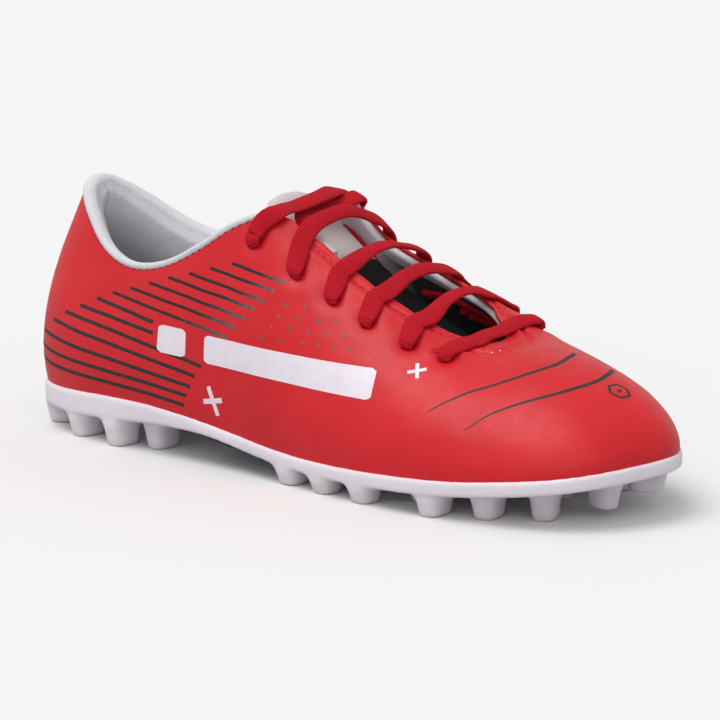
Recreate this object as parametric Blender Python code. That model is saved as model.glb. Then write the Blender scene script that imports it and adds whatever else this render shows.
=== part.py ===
"""Right football boot with moulded studs, every physical layer as its own closed solid.

Lengths are in millimetres until a mesh is made.  While modelling, x runs forward from the
back of the heel, y to the wearer's left (the inner side), z up from the ground.
The finished objects are shifted so that the world origin is under the middle of the boot.
"""
import math

import bmesh
import bpy
import numpy as np

MM = 0.001
GAP = 0.3                                   # clearance kept between neighbouring solids
MODEL_SHIFT = np.array([-138.74, 0.98, 0.0])  # puts the middle of the boot's box on the origin

# Depths below the outer face of the upper
SHELL_THICKNESS = 1.4
MIDDLE_OUTER = SHELL_THICKNESS + GAP
MIDDLE_INNER = MIDDLE_OUTER + 0.9
LINING_OUTER = MIDDLE_INNER + GAP
LINING_THICKNESS = 0.7
LINING_INNER = LINING_OUTER + LINING_THICKNESS
LASTING_MARGIN = 9.0                        # width of the upper turned in under the foot
COLLAR_PADDING = 4.2                        # extra depth of the padded collar

# Height of the joint between upper and outsole, against x
SOLE_LINE = [(-6, 16.2), (25, 17.2), (50, 18.3), (70, 18.2), (90, 16.6), (115, 13.4), (142, 11.0),
             (168, 11.0), (196, 12.3), (217, 13.7), (236, 15.8), (256, 18.4), (270, 20.7), (284, 23.0)]

# Round the boot from the heel by the outer side, the toe and the inner side:
# foot of the wall x, y | wall bulge, rise | shoulder reach, drop | opening edge x, y, z
STATIONS = np.array([
    (2, 0, 5.0, 24, .83, 33, 20, 0, 95.5),
    (5, -13, 5.0, 24, .85, 32, 22.5, -9.5, 92.5),
    (15, -23, 5.0, 22, .88, 28, 32, -17, 83.5),
    (33, -29.5, 4.5, 20, .92, 22, 44, -22.5, 73.8),
    (54, -33, 4.0, 18, .93, 16, 58, -25.5, 69.6),
    (74, -34.5, 4.0, 18, .93, 16, 74, -27, 72),
    (95, -35.5, 4.2, 20, .93, 20, 90, -27, 80),
    (112, -37, 4.5, 23, .92, 25, 106, -25, 90),
    (127, -39.5, 4.5, 25, .88, 28, 121, -21, 93.8),
    (143, -42, 4.5, 24, .84, 24, 137, -18.5, 85.3),
    (160, -45, 4.2, 23, .80, 19, 155, -17, 74.3),
    (181, -48, 4.0, 20, .68, 12, 172, -14.5, 65),
    (205, -49.3, 3.5, 17, .58, 6, 187, -10.5, 57.7),
    (230, -47, 3.0, 15, .54, 1, 195.5, -4, 53.6),
    (252, -40.5, 3.0, 15, .53, -3, 198.5, 0, 52.7),
    (268, -26, 3.0, 15.5, .52, -5.5, 200, 3, 52.5),
    (276, -2, 3.0, 16, .52, -5, 200.5, 6, 52.4),
    (268, 17, 3.0, 15.5, .52, -3.5, 200, 9.5, 52.7),
    (252, 32, 3.0, 15.5, .53, -1, 198, 13, 53.6),
    (232, 42, 3.0, 16.5, .55, 2.5, 193, 17, 56.8),
    (208, 47, 3.5, 20, .60, 6, 184, 20, 62.8),
    (184, 46.5, 4.0, 22, .70, 12, 172, 21.5, 67.8),
    (162, 42, 4.2, 24, .80, 18, 157, 22, 73.6),
    (144, 37, 4.5, 25, .85, 23, 140, 22, 80.5),
    (127, 33, 4.5, 26, .90, 28, 123.5, 22.5, 93),
    (110, 30.5, 4.5, 23, .95, 24, 108, 25, 90.5),
    (94, 30, 4.2, 20, 1.0, 19, 91.5, 27, 81.8),
    (76, 30.5, 4.0, 18, 1.0, 16, 75, 28, 75.2),
    (56, 31.3, 4.0, 18, .98, 16, 57, 27, 73.2),
    (34, 28.5, 4.5, 20, .92, 21, 42.5, 23.5, 78),
    (15, 21.5, 5.0, 22, .88, 28, 30.5, 17, 86.5),
    (5, 12, 5.0, 24, .85, 32, 22.5, 9, 93),
], float)
LOOP = len(STATIONS)
AROUND = np.arange(0, LOOP, 0.5)             # places round the boot that every layer shares
WALL_ROWS = np.array([.1, .24, .4, .56, .72, .87, 1.0])


# ---------------------------------------------------------------- curves and the upper's skin

def closed_curve(rows, place):
    """Smooth closed curve through rows, read at places counted in rows."""
    base = np.floor(place).astype(int)
    part = (place - base)[..., None]
    before, start, end, after = (rows[(base + k) % len(rows)] for k in (-1, 0, 1, 2))
    return 0.5 * (2 * start + (end - before) * part
                  + (2 * before - 5 * start + 4 * end - after) * part ** 2
                  + (3 * start - before - 3 * end + after) * part ** 3)


def open_curve(points, x):
    """Smooth height against x through a few (x, height) points."""
    knots, values = np.array(points, float).T
    slopes = np.gradient(values, knots)
    x = np.clip(x, knots[0], knots[-1])
    k = np.clip(np.searchsorted(knots, x) - 1, 0, len(knots) - 2)
    width = knots[k + 1] - knots[k]
    u = (x - knots[k]) / width
    return ((2 * u ** 3 - 3 * u ** 2 + 1) * values[k] + (u ** 3 - 2 * u ** 2 + u) * width * slopes[k]
            + (3 * u ** 2 - 2 * u ** 3) * values[k + 1] + (u ** 3 - u ** 2) * width * slopes[k + 1])


def unit(vectors):
    return vectors / np.linalg.norm(vectors, axis=-1, keepdims=True)


def sole_line(x):
    return open_curve(SOLE_LINE, x)


def foot_edge(t, inset=0.0):
    """Point and outward direction of the upper's foot line, moved inward by inset."""
    t = np.asarray(t, float)
    step = 0.02
    ahead = closed_curve(STATIONS[:, :2], t + step)
    behind = closed_curve(STATIONS[:, :2], t - step)
    along = unit(ahead - behind)
    outward = np.stack([along[..., 1], -along[..., 0]], -1)
    point = closed_curve(STATIONS[:, :2], t) - outward * np.asarray(inset)[..., None]
    return point, outward


def skin_point(t, s):
    """Outer face of the upper: t runs round the boot, s from the sole line (0) to the opening (1)."""
    t, s = np.broadcast_arrays(np.asarray(t, float), np.asarray(s, float))
    edge, outward = foot_edge(t)
    shape = closed_curve(STATIONS[:, 2:6], t)
    rim = closed_curve(STATIONS[:, 6:9], t)
    start = np.concatenate([edge, sole_line(edge[..., 0])[..., None]], -1)
    zeros = np.zeros(t.shape)
    lift = np.stack([zeros, zeros, shape[..., 1]], -1)
    side = np.concatenate([outward * shape[..., 0:1], zeros[..., None]], -1)
    low = start + side + lift
    shoulder = rim + (start - rim) * shape[..., 2:3]
    shoulder[..., 2] = rim[..., 2] - shape[..., 3]
    s = s[..., None]
    return ((1 - s) ** 3 * start + 3 * (1 - s) ** 2 * s * low
            + 3 * (1 - s) * s ** 2 * shoulder + s ** 3 * rim)


def skin(t, s, depth=0.0):
    """Point at a depth below the upper's outer face, and the outward normal there."""
    t, s = np.broadcast_arrays(np.asarray(t, float), np.asarray(s, float))
    step = 0.01
    low = np.clip(s - step, 0, 1)
    high = np.clip(s + step, 0, 1)
    around = skin_point(t + step, s) - skin_point(t - step, s)
    upward = skin_point(t, high) - skin_point(t, low)
    normal = unit(np.cross(around, upward))
    depth = np.asarray(depth, float)[..., None]
    return skin_point(t, s) - normal * depth, normal


def from_edge(t, distance):
    """The s that lies a given distance below the opening's edge, measured along the skin."""
    samples = np.linspace(1, 0, 81)
    line = skin_point(np.full(samples.shape, t), samples)
    run = np.concatenate([[0], np.cumsum(np.linalg.norm(np.diff(line, axis=0), axis=1))])
    return float(np.interp(distance, run, samples))


# ---------------------------------------------------------------- making objects

def material(name, colour, roughness, metallic=0.0):
    made = bpy.data.materials.new(name)
    made.use_nodes = True
    shader = made.node_tree.nodes["Principled BSDF"]
    shader.inputs["Base Color"].default_value = (*colour, 1.0)
    shader.inputs["Roughness"].default_value = roughness
    shader.inputs["Metallic"].default_value = metallic
    return made


def face_outward(mesh):
    """Turn every face of a closed mesh over when the mesh encloses a negative volume."""
    work = bmesh.new()
    work.from_mesh(mesh)
    if work.calc_volume(signed=True) < 0:
        bmesh.ops.reverse_faces(work, faces=work.faces)
        work.to_mesh(mesh)
    work.free()


def add_mesh(name, points, faces, look, origin=(0, 0, 0)):
    """Object from millimetre points; its own origin sits at origin (millimetres)."""
    origin = np.asarray(origin, float)
    mesh = bpy.data.meshes.new(name)
    local = (np.asarray(points, float) - origin) * MM
    mesh.from_pydata(local.tolist(), [], faces)
    face_outward(mesh)
    mesh.materials.append(look)
    obj = bpy.data.objects.new(name, mesh)
    obj.location = (origin + MODEL_SHIFT) * MM
    bpy.context.collection.objects.link(obj)
    mesh.shade_smooth()
    mesh.set_sharp_from_angle(angle=math.radians(40))
    return obj


def tube_faces(rings, sides, closed):
    """Quads between successive rings of the same number of points, capped unless closed."""
    faces = []
    last = rings if closed else rings - 1
    for i in range(last):
        j = (i + 1) % rings
        for k in range(sides):
            m = (k + 1) % sides
            faces.append((i * sides + k, j * sides + k, j * sides + m, i * sides + m))
    if not closed:
        faces.append(tuple(range(sides)))
        faces.append(tuple((rings - 1) * sides + k for k in reversed(range(sides))))
    return faces


def add_sweep(name, sections, look, closed, origin=(0, 0, 0)):
    """Solid swept through sections (ring, side, xyz)."""
    sections = np.asarray(sections, float)
    rings, sides = sections.shape[:2]
    return add_mesh(name, sections.reshape(-1, 3), tube_faces(rings, sides, closed), look, origin)


def add_slab(name, top, bottom, look, origin=(0, 0, 0)):
    """Closed solid between two grids of points (row, column, xyz) of the same size."""
    rows, columns = top.shape[:2]
    points = np.concatenate([top.reshape(-1, 3), bottom.reshape(-1, 3)])
    half = rows * columns
    faces = []
    for i in range(rows - 1):
        for j in range(columns - 1):
            a = i * columns + j
            quad = (a, a + columns, a + columns + 1, a + 1)
            faces.append(quad)
            faces.append(tuple(half + p for p in reversed(quad)))
    border = [j for j in range(columns)]
    border += [i * columns + columns - 1 for i in range(1, rows)]
    border += [(rows - 1) * columns + j for j in range(columns - 2, -1, -1)]
    border += [i * columns for i in range(rows - 2, 0, -1)]
    for a, b in zip(border, border[1:] + border[:1]):
        faces.append((a, b, half + b, half + a))
    return add_mesh(name, points, faces, look, origin)


def cut(obj, cutter, operation):
    """Boolean of obj with a helper object that is not a part itself."""
    cutter.hide_render = True
    cutter.display_type = "WIRE"
    change = obj.modifiers.new(operation.lower(), "BOOLEAN")
    change.object = cutter
    change.operation = operation
    change.solver = "EXACT"


# ---------------------------------------------------------------- the layers of the upper

def collar_weight(t):
    """1 along the padded collar, falling to 0 before the lacing on each side."""
    distance = np.abs((np.asarray(t, float) + LOOP / 2) % LOOP - LOOP / 2)
    return np.clip((7.0 - distance) / 1.6, 0, 1)


def padding(t, s):
    """Extra depth of the lining where the collar foam sits behind it."""
    swell = np.sin(np.pi * np.clip((np.asarray(s) - 0.42) / 0.58, 0, 1) ** 0.8)
    return COLLAR_PADDING * collar_weight(t) * np.maximum(swell, 0) ** 0.7


def turned_in_sections(t, s_values, outer, inner, bottom_low, bottom_high):
    """Wall section with its lower edge turned in under the foot."""
    sections = []
    for place in t:
        edge_out, _ = foot_edge(place, outer)
        edge_in, _ = foot_edge(place, inner)
        end = narrowed_outline(np.array([place]), LASTING_MARGIN)[0]
        wall_out, _ = skin(place, s_values, outer)
        wall_in, _ = skin(place, s_values, inner)
        ring = [(*end, sole_line(end[0]) + bottom_low), (*edge_out, sole_line(edge_out[0]) + bottom_low)]
        ring += [*wall_out, *wall_in[::-1]]
        ring += [(*edge_in, sole_line(edge_in[0]) + bottom_high), (*end, sole_line(end[0]) + bottom_high)]
        sections.append(ring)
    return np.array(sections)


def make_shell(look):
    sections = turned_in_sections(AROUND, WALL_ROWS, 0.0, SHELL_THICKNESS, GAP, GAP + SHELL_THICKNESS)
    return add_sweep("upper_shell", sections, look, True)


def make_lining(look):
    """Thin textile lining from the footbed board up to the opening, over the collar foam."""
    sections = []
    for place in AROUND:
        extra = padding(place, WALL_ROWS)
        outer, _ = skin(place, WALL_ROWS, LINING_OUTER + extra)
        inner, _ = skin(place, WALL_ROWS, LINING_INNER + extra)
        sections.append(np.concatenate([outer, inner[::-1]]))
    return add_sweep("quarter_lining", sections, look, True)


def middle_piece(name, look, t_start, t_end, rows, padded=False, slack=0.0):
    """Piece of the layer between shell and lining, on the grid that the other layers share."""
    outside, inside = [], []
    for place in np.arange(t_start, t_end + 0.25, 0.5):
        extra = padding(place, rows) if padded else 0.0 * rows
        outside.append(skin(place, rows, MIDDLE_OUTER + slack)[0])
        inside.append(skin(place, rows, MIDDLE_INNER - slack + extra)[0])
    return add_slab(name, np.array(inside), np.array(outside), look)


# ---------------------------------------------------------------- outsole

STUD_HEIGHT_HEEL = 9.5
STUDS_OUTER_HEEL = [(11, -10), (32, -20), (52, -24.5), (67, -19)]
STUDS_OUTER_FRONT = [(140, -35.5), (157, -39), (176, -42), (206, -40), (223, -32), (239, -22)]
STUDS_TOE = [(252, -8), (258, 8)]
STUDS_INNER_SIDE = [(140, 27), (157, 32), (176, 37), (199, 39), (219, 34), (238, 25)]
STUDS_MIDDLE = [(177, -24), (192, -30), (186, 12), (229, 3)]


def plate_thickness(x):
    return open_curve([(-6, 7.2), (55, 7.6), (80, 5.4), (100, 3.8), (125, 4.0), (150, 4.3), (284, 4.6)], x)


def make_outsole(look):
    """Plate with a side wall, as rings from the middle of its top round to the middle of its base."""
    t = AROUND
    rings = []
    for inset, share in ((30, 0), (LASTING_MARGIN, 0), (0, 0), (-0.9, .25), (0.6, .75), (3.2, 1.0), (30, 1.0)):
        edge = narrowed_outline(t, inset)
        top = sole_line(edge[:, 0])
        rings.append(np.column_stack([edge, top - plate_thickness(edge[:, 0]) * share]))
    points = np.concatenate(rings)
    faces = tube_faces(len(rings), len(t), False)[:-2]
    faces += spine_cap(0, len(t), False)
    faces += spine_cap((len(rings) - 1) * len(t), len(t), True)
    plate = add_mesh("outsole_plate", points, faces, look)
    cut(plate, make_studs(), "UNION")
    return plate


def narrowed_outline(t, inset):
    """Foot line moved inward, never past the long middle line of the sole."""
    point, outward = foot_edge(t, 0.0)
    middle_x = np.clip(point[:, 0], 32, 232)
    middle = np.column_stack([middle_x, middle_line(middle_x)])
    room = np.linalg.norm(point - middle, axis=1)
    share = np.minimum(inset / room, 0.86)[:, None]
    if inset <= 4:
        return point - outward * inset
    return point + (middle - point) * share


def middle_line(x):
    """Sideways place of the sole's long middle line."""
    return open_curve([(0, 0), (60, -1), (110, -3.5), (150, -2.5), (200, -1.5), (240, -1), (280, -1)], x)


def spine_cap(first, count, flip):
    """Quads across a narrow ring, joining each point to its mirror on the other side."""
    faces = []
    for k in range(count // 2):
        a, b = first + k, first + (k + 1) % count
        c, d = first + (count - k - 1) % count, first + (count - k) % count
        quad = [a, b, c, d]
        quad = list(dict.fromkeys(quad))
        if len(quad) > 2:
            faces.append(tuple(reversed(quad)) if flip else tuple(quad))
    return faces


def make_studs():
    """All studs as one helper: flared foot, waist and rounded tip."""
    studs = [(x, y, 1.0, 0.0) for x, y in STUDS_OUTER_HEEL + STUDS_OUTER_FRONT + STUDS_INNER_SIDE]
    studs += [(x, -y, 1.0, 0.0) for x, y in STUDS_OUTER_HEEL]
    studs += [(x, y, 0.85, 0.0) for x, y in STUDS_MIDDLE]
    studs += [(x, y, 0.9, 3.0 + 3.0 * k) for k, (x, y) in enumerate(STUDS_TOE)]
    sides = 10
    turn = np.arange(sides) * 2 * math.pi / sides
    circle = np.column_stack([np.cos(turn), np.sin(turn)])
    points, faces = [], []
    for x, y, scale, low in studs:
        top = sole_line(x) - plate_thickness(x) + 1.2
        profile = [(top, 8.0), (low + (top - low) * 0.5, 5.7), (low + 0.8, 4.8), (low, 4.0)]
        first = len(points)
        for height, radius in profile:
            points += [(x + radius * scale * c, y + radius * scale * d, height) for c, d in circle]
        rings = tube_faces(len(profile), sides, False)
        faces += [tuple(first + index for index in reversed(face)) for face in rings]
    look = material("stud_helper", (0.8, 0.8, 0.8), 0.5)
    return add_mesh("stud_helper", points, faces, look)


# ---------------------------------------------------------------- pieces under the foot

def footbed(name, look, profile, origin=(0, 0, 0)):
    """Solid following the sole line; profile rows are (inset, height) from top middle to base middle."""
    t = AROUND
    rings = []
    for inset, height in profile:
        edge = narrowed_outline(t, inset)
        rise = height(edge[:, 0]) if callable(height) else height
        rings.append(np.column_stack([edge, sole_line(edge[:, 0]) + rise]))
    faces = tube_faces(len(rings), len(t), False)[:-2]
    faces += spine_cap(0, len(t), False)
    faces += spine_cap((len(rings) - 1) * len(t), len(t), True)
    return add_mesh(name, np.concatenate(rings), faces, look, origin)


BOARD_LOW = SHELL_THICKNESS + 2 * GAP
BOARD_HIGH = BOARD_LOW + 1.3
BOARD_INSET = LINING_INNER + 0.5
SOCKLINER_LOW = BOARD_HIGH + GAP
SOCKLINER_INSET = LINING_INNER + 2.2
SOCKLINER_HINGE = (267.0, -1.0, 25.0)


def sockliner_edge(x):
    """Height of the removable liner's rim: a liner cut from sheet, with its rim raised a little at the heel."""
    return SOCKLINER_LOW + open_curve([(-6, 3.9), (40, 3.7), (90, 3.6), (140, 3.4), (284, 3.2)], x)


def make_arch_insert(look):
    """Dark stiffening plate let in under the arch, showing at the outer edge."""
    x = np.linspace(93, 129, 10)
    share = np.linspace(0, 1, 7)
    outer_y = -open_curve([(90, 31), (110, 33), (130, 36)], x)
    inner_y = open_curve([(90, 24), (110, 25), (130, 28)], x)
    grid_x = np.repeat(x[:, None], len(share), 1)
    grid_y = outer_y[:, None] + (inner_y - outer_y)[:, None] * share
    top = sole_line(grid_x) - plate_thickness(grid_x) - GAP
    upper_face = np.stack([grid_x, grid_y, top], -1)
    lower_face = upper_face - np.array([0, 0, 1.2])
    return add_slab("arch_insert", upper_face, lower_face, look)


# ---------------------------------------------------------------- tongue

TONGUE_LINE = [(108, 99), (122, 88), (137, 77), (156, 65), (173, 56.5), (187, 50.5), (200, 46), (213, 42.5)]
TONGUE_HALF_WIDTH = [(108, 12), (112, 15), (119, 17.2), (140, 17), (180, 17), (213, 14)]
TONGUE_MIDDLE = 1.5
TONGUE_HINGE = (213.0, TONGUE_MIDDLE, 42.0)
FACE_THICKNESS = 0.9
TONGUE_X = np.linspace(108, 213, 15)
TONGUE_BREAK = TONGUE_X[4]                        # where the pale padded face meets the dark mesh face


def tongue_point(x, across, depth):
    """Point at a depth below the tongue's outer face; across runs from -1 to 1."""
    y = TONGUE_MIDDLE + across * open_curve(TONGUE_HALF_WIDTH, x)
    sag = 0.0145 * (y - TONGUE_MIDDLE) ** 2
    z = open_curve(TONGUE_LINE, x) - sag
    slope_x = (open_curve(TONGUE_LINE, x + 1) - open_curve(TONGUE_LINE, x - 1)) / 2
    slope_y = -0.029 * (y - TONGUE_MIDDLE)
    normal = unit(np.stack([-slope_x, -slope_y, np.ones(z.shape)], -1))
    return np.stack([x, y, z], -1) - normal * np.asarray(depth)[..., None]


def tongue_padding(x):
    return open_curve([(108, 2.4), (118, 4.0), (150, 3.2), (165, 1.6), (213, 0.9)], x)


def tongue_piece(name, look, x_values, outer, inner):
    x, across = np.meshgrid(x_values, np.linspace(-1, 1, 7), indexing="ij")
    top = tongue_point(x, across, outer(x))
    bottom = tongue_point(x, across, inner(x))
    return add_slab(name, bottom, top, look, TONGUE_HINGE)


def make_tongue(pale, dark, foam, textile):
    foam_outer = FACE_THICKNESS + GAP
    lining_outer = foam_outer + GAP
    upper = np.append(TONGUE_X[TONGUE_X < TONGUE_BREAK], TONGUE_BREAK - GAP)
    lower = TONGUE_X[TONGUE_X >= TONGUE_BREAK]

    def level(base, padded):
        return lambda x: base + padded * tongue_padding(x)

    tongue_piece("tongue_face_upper", pale, upper, level(0, 0), level(FACE_THICKNESS, 0))
    tongue_piece("tongue_face_lower", dark, lower, level(0, 0), level(FACE_THICKNESS, 0))
    tongue_piece("tongue_foam", foam, TONGUE_X[:-1], level(foam_outer, 0), level(foam_outer, 1))
    tongue_piece("tongue_lining", textile, TONGUE_X, level(lining_outer, 1), level(lining_outer + 0.7, 1))


# ---------------------------------------------------------------- lace

EYELET_FROM_RIM = [10.5, 16.0, 14.5, 14.5, 15.5, 17.0]
EYELET_RADIUS = 3.1
OUTER_EYELETS = [7.55, 8.72, 9.66, 10.48, 11.4, 12.22]
INNER_EYELETS = [24.3, 23.2, 22.3, 21.4, 20.4, 19.6]
BAR_RISE = [0, 8.0, 6.5, 6.0, 5.5, 3.0]
LACE_WIDTH = 7.4
LACE_THICKNESS = 1.7
BUNCHED = (3.2, 2.1)                        # the lace squeezed through an eyelet
RUN_HEIGHT = -(LINING_INNER + 2.2)          # middle of the lace where it runs inside the upper
RUN_SHIFT = 5.5                             # how far a passing run keeps from an occupied eyelet
ON_SKIN = 1.35
OVER_FILM = 2.1
LACE_STEP = 4.5                             # distance between the lace's sections


def skin_key(t, from_rim, height, toward_toe, width=LACE_WIDTH, thickness=LACE_THICKNESS):
    """Lace key on the skin; its width lies along the eyestay, or across it on the inside runs."""
    s = from_edge(t, from_rim)
    point, normal = skin(t, s, -height)
    along = unit(skin_point(t + 0.02, s) - skin_point(t - 0.02, s))
    if t > LOOP / 2:
        along = -along
    direction = along if toward_toe else np.cross(normal, along)
    return [*point, *direction, width, thickness]


def eyelet_keys(eyelets, row):
    """Keys from inside the upper, out through an eyelet and over to the opening's edge."""
    t, from_rim = eyelets[row], EYELET_FROM_RIM[row]
    keys = [skin_key(t, from_rim, height, True, *BUNCHED) for height in (RUN_HEIGHT + .5, -3.4, -0.6, 0.7)]
    keys.append(skin_key(t, from_rim - 2.6, ON_SKIN, True, 4.6, LACE_THICKNESS))
    keys.append(skin_key(t, from_rim - 5.8, ON_SKIN, True))
    if from_rim > 12:
        keys.append(skin_key(t, from_rim - 10.0, ON_SKIN, True))
    return keys


def rim_key(t, height=1.7):
    return skin_key(t, 0.4, height, True)


def bar_keys(row):
    """Keys of the straight bar between the two eyelets of a row, outer side first."""
    start = np.array(rim_key(OUTER_EYELETS[row]))
    end = np.array(rim_key(INNER_EYELETS[row]))
    keys = eyelet_keys(OUTER_EYELETS, row) + [list(start)]
    for share in (0.3, 0.5, 0.7):
        middle = start + (end - start) * share
        middle[2] += BAR_RISE[row] * math.sin(math.pi * share)
        keys.append(list(middle))
    return keys + [list(end)] + eyelet_keys(INNER_EYELETS, row)[::-1]


def run_keys(eyelets, start, end):
    """Keys of a run inside the upper, from row to row, passing any row between at a distance."""
    t_start, t_end = eyelets[start], eyelets[end]
    keys = []
    for share in (0.2, 0.5, 0.8):
        place = t_start + (t_end - t_start) * share
        from_rim = EYELET_FROM_RIM[start] + (EYELET_FROM_RIM[end] - EYELET_FROM_RIM[start]) * share
        if abs(end - start) == 2:
            from_rim += RUN_SHIFT * math.sin(math.pi * share) * (-1 if end > start else 1)
        keys.append(skin_key(place, from_rim, RUN_HEIGHT, False, 3.6, 1.9))
    return keys


def threaded_keys():
    """The whole held part of the lace, from the top outer eyelet to the top inner eyelet."""
    keys = eyelet_keys(OUTER_EYELETS, 0)[-2::-1]
    keys += run_keys(OUTER_EYELETS, 0, 2) + bar_keys(2)
    keys += run_keys(INNER_EYELETS, 2, 4) + bar_keys(4)[::-1]
    keys += run_keys(OUTER_EYELETS, 4, 5) + bar_keys(5)
    keys += run_keys(INNER_EYELETS, 5, 3) + bar_keys(3)[::-1]
    keys += run_keys(OUTER_EYELETS, 3, 1) + bar_keys(1)
    keys += run_keys(INNER_EYELETS, 1, 0) + eyelet_keys(INNER_EYELETS, 0)[:-1]
    return keys


def free_key(x, y, z, direction, width=LACE_WIDTH):
    return [x, y, z, *direction, width, LACE_THICKNESS]


def inner_tail_keys():
    """Free end that leaves the top outer eyelet, crosses over and hangs down the inner side."""
    forward = (0.95, 0.0, -0.3)
    keys = [skin_key(OUTER_EYELETS[0], EYELET_FROM_RIM[0] - 3.6, ON_SKIN, True, 6.0)]
    keys += [rim_key(OUTER_EYELETS[0] + 0.06)]
    keys += [free_key(117.5, -9, 96, forward), free_key(119.5, 3, 96.8, forward), free_key(118, 14, 96.8, forward)]
    keys += [rim_key(24.68, 2.6)]
    for t, from_rim in ((25.0, 9), (25.2, 19), (25.45, 29), (25.8, 38), (26.3, 44), (26.8, 47)):
        keys.append(skin_key(t, from_rim, OVER_FILM, True))
    return keys


def outer_tail_keys():
    """Free end that leaves the top inner eyelet and slips under the second bar."""
    keys = [skin_key(INNER_EYELETS[0] - 0.04, EYELET_FROM_RIM[0] - 3.6, ON_SKIN, True, 6.0)]
    keys += [skin_key(24.15, 3.6, OVER_FILM + 0.5, True), rim_key(24.0, 2.6)]
    forward = (0.9, 0.1, -0.4)
    sideways = (0.35, 0.85, 0.3)
    keys += [free_key(123.5, 14, 92.8, forward), free_key(122, 3, 92.6, (0.8, -0.3, -0.4))]
    keys += [free_key(123, -7, 91.2, (0.6, 0.6, -0.2)), free_key(127.3, -11.6, 88.8, sideways, 6.0)]
    keys += [free_key(131, -12.8, 86.4, sideways, 3.0)]
    return keys


def smooth_keys(keys, step):
    """Keys resampled along a smooth curve whose speed follows the distance between keys."""
    keys = np.array(keys)
    run = np.concatenate([[0], np.cumsum(np.linalg.norm(np.diff(keys[:, :3], axis=0), axis=1))])
    slopes = np.gradient(keys, run, axis=0)
    wanted = [run[0]]
    for start, end in zip(run[:-1], run[1:]):
        wanted += list(np.linspace(start, end, max(1, round((end - start) / step)) + 1)[1:])
    wanted = np.array(wanted)
    k = np.clip(np.searchsorted(run, wanted) - 1, 0, len(run) - 2)
    width = (run[k + 1] - run[k])[:, None]
    u = ((wanted - run[k]) / (run[k + 1] - run[k]))[:, None]
    return ((2 * u ** 3 - 3 * u ** 2 + 1) * keys[k] + (u ** 3 - 2 * u ** 2 + u) * width * slopes[k]
            + (3 * u ** 2 - 2 * u ** 3) * keys[k + 1] + (u ** 3 - u ** 2) * width * slopes[k + 1])


def ribbon_sections(keys, step):
    """Flat six-sided sections along the smoothed keys."""
    row = smooth_keys(keys, step)
    centre = row[:, :3]
    along = unit(np.gradient(centre, axis=0))
    across = row[:, 3:6] - along * np.sum(row[:, 3:6] * along, axis=1, keepdims=True)
    across = unit(across)
    face = np.cross(along, across)
    outline = [(-1, 0), (-.78, -1), (.78, -1), (1, 0), (.78, 1), (-.78, 1)]
    sections = []
    for side, lift in outline:
        sections.append(centre + across * row[:, 6:7] * side / 2 + face * row[:, 7:8] * lift / 2)
    return np.stack(sections, 1)


def make_lace(look, tip_look):
    add_sweep("lace_threaded", ribbon_sections(threaded_keys(), LACE_STEP), look, False)
    for side, keys in (("inner", inner_tail_keys()), ("outer", outer_tail_keys())):
        add_sweep("lace_end_" + side, ribbon_sections(keys, 5.0), look, False)
        last, before = np.array(keys[-1][:3]), np.array(keys[-2][:3])
        direction = unit(last - before)
        start = last + direction * AGLET_GAP
        end = start + direction * AGLET_LENGTH if side == "inner" else np.array(OUTER_AGLET_TIP)
        add_aglet("aglet_" + side, start, end, tip_look)


AGLET_LENGTH = 14.0
AGLET_GAP = 0.7
AGLET_RADIUS = 1.7
OUTER_AGLET_TIP = (141.5, -13.2, 79.5)


def add_aglet(name, start, end, look):
    axis = unit(end - start)
    side = unit(np.cross(axis, (0.3, 1, 0.2)))
    other = np.cross(axis, side)
    sections = []
    for share, size in ((0, .9), (.06, 1), (.94, 1), (1, .85)):
        centre = start + (end - start) * share
        ring = [centre + AGLET_RADIUS * size * (math.cos(a) * side + math.sin(a) * other)
                for a in np.arange(10) * 2 * math.pi / 10]
        sections.append(ring)
    add_sweep(name, sections, look, False)


def eyelet_cutter(name, eyelets, look):
    """Helper that punches one side's eyelets through every layer of the upper."""
    points, faces = [], []
    sides = 12
    for t, from_rim in zip(eyelets, EYELET_FROM_RIM):
        s = from_edge(t, from_rim)
        middle, normal = skin(t, s, 1.7)
        side = unit(np.cross(normal, (1.0, 0.0, 0.0)))
        other = np.cross(normal, side)
        first = len(points)
        for height in (-4.0, 4.0):
            for k in range(sides):
                a = 2 * math.pi * k / sides
                ring = math.cos(a) * side + math.sin(a) * other
                points.append(middle + normal * height + EYELET_RADIUS * ring)
        faces += [tuple(first + index for index in face) for face in tube_faces(2, sides, False)]
    return add_mesh(name, points, faces, look)


# ---------------------------------------------------------------- films on the outer face

def at_height(t, height):
    """The s at which the wall reaches a height, for matching arrays of t and height."""
    samples = np.linspace(0, 1, 81)
    found = [np.interp(z, skin_point(np.full(samples.shape, place), samples)[:, 2], samples)
             for place, z in zip(np.ravel(t), np.ravel(height))]
    return np.reshape(found, np.shape(t))


def film(name, look, corners, rows=3, columns=14):
    """Thin film on the wall between four (t, height) corners: two at its start, two at its end."""
    start_low, start_high, end_low, end_high = (np.array(corner, float) for corner in corners)
    across = np.linspace(0, 1, rows)[:, None, None]
    along = np.linspace(0, 1, columns)[None, :, None]
    low = start_low + (end_low - start_low) * along
    high = start_high + (end_high - start_high) * along
    place = low + (high - low) * across
    s = at_height(place[..., 0], place[..., 1])
    outside, _ = skin(place[..., 0], s, -FILM_OUTER)
    inside, _ = skin(place[..., 0], s, -FILM_INNER)
    return add_slab(name, inside, outside, look)


FILM_INNER = 0.45
FILM_OUTER = 0.7
LONG_BAR = [(6.3, 39.0), (6.3, 49.0), (11.0, 37.0), (11.0, 47.0)]
SQUARE = [(5.15, 40.0), (5.15, 50.0), (5.8, 39.5), (5.8, 49.5)]


def mirrored(corners):
    """The same corners on the inner side of the boot."""
    return [(LOOP - t, height) for t, height in corners]


# ---------------------------------------------------------------- the whole boot

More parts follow.
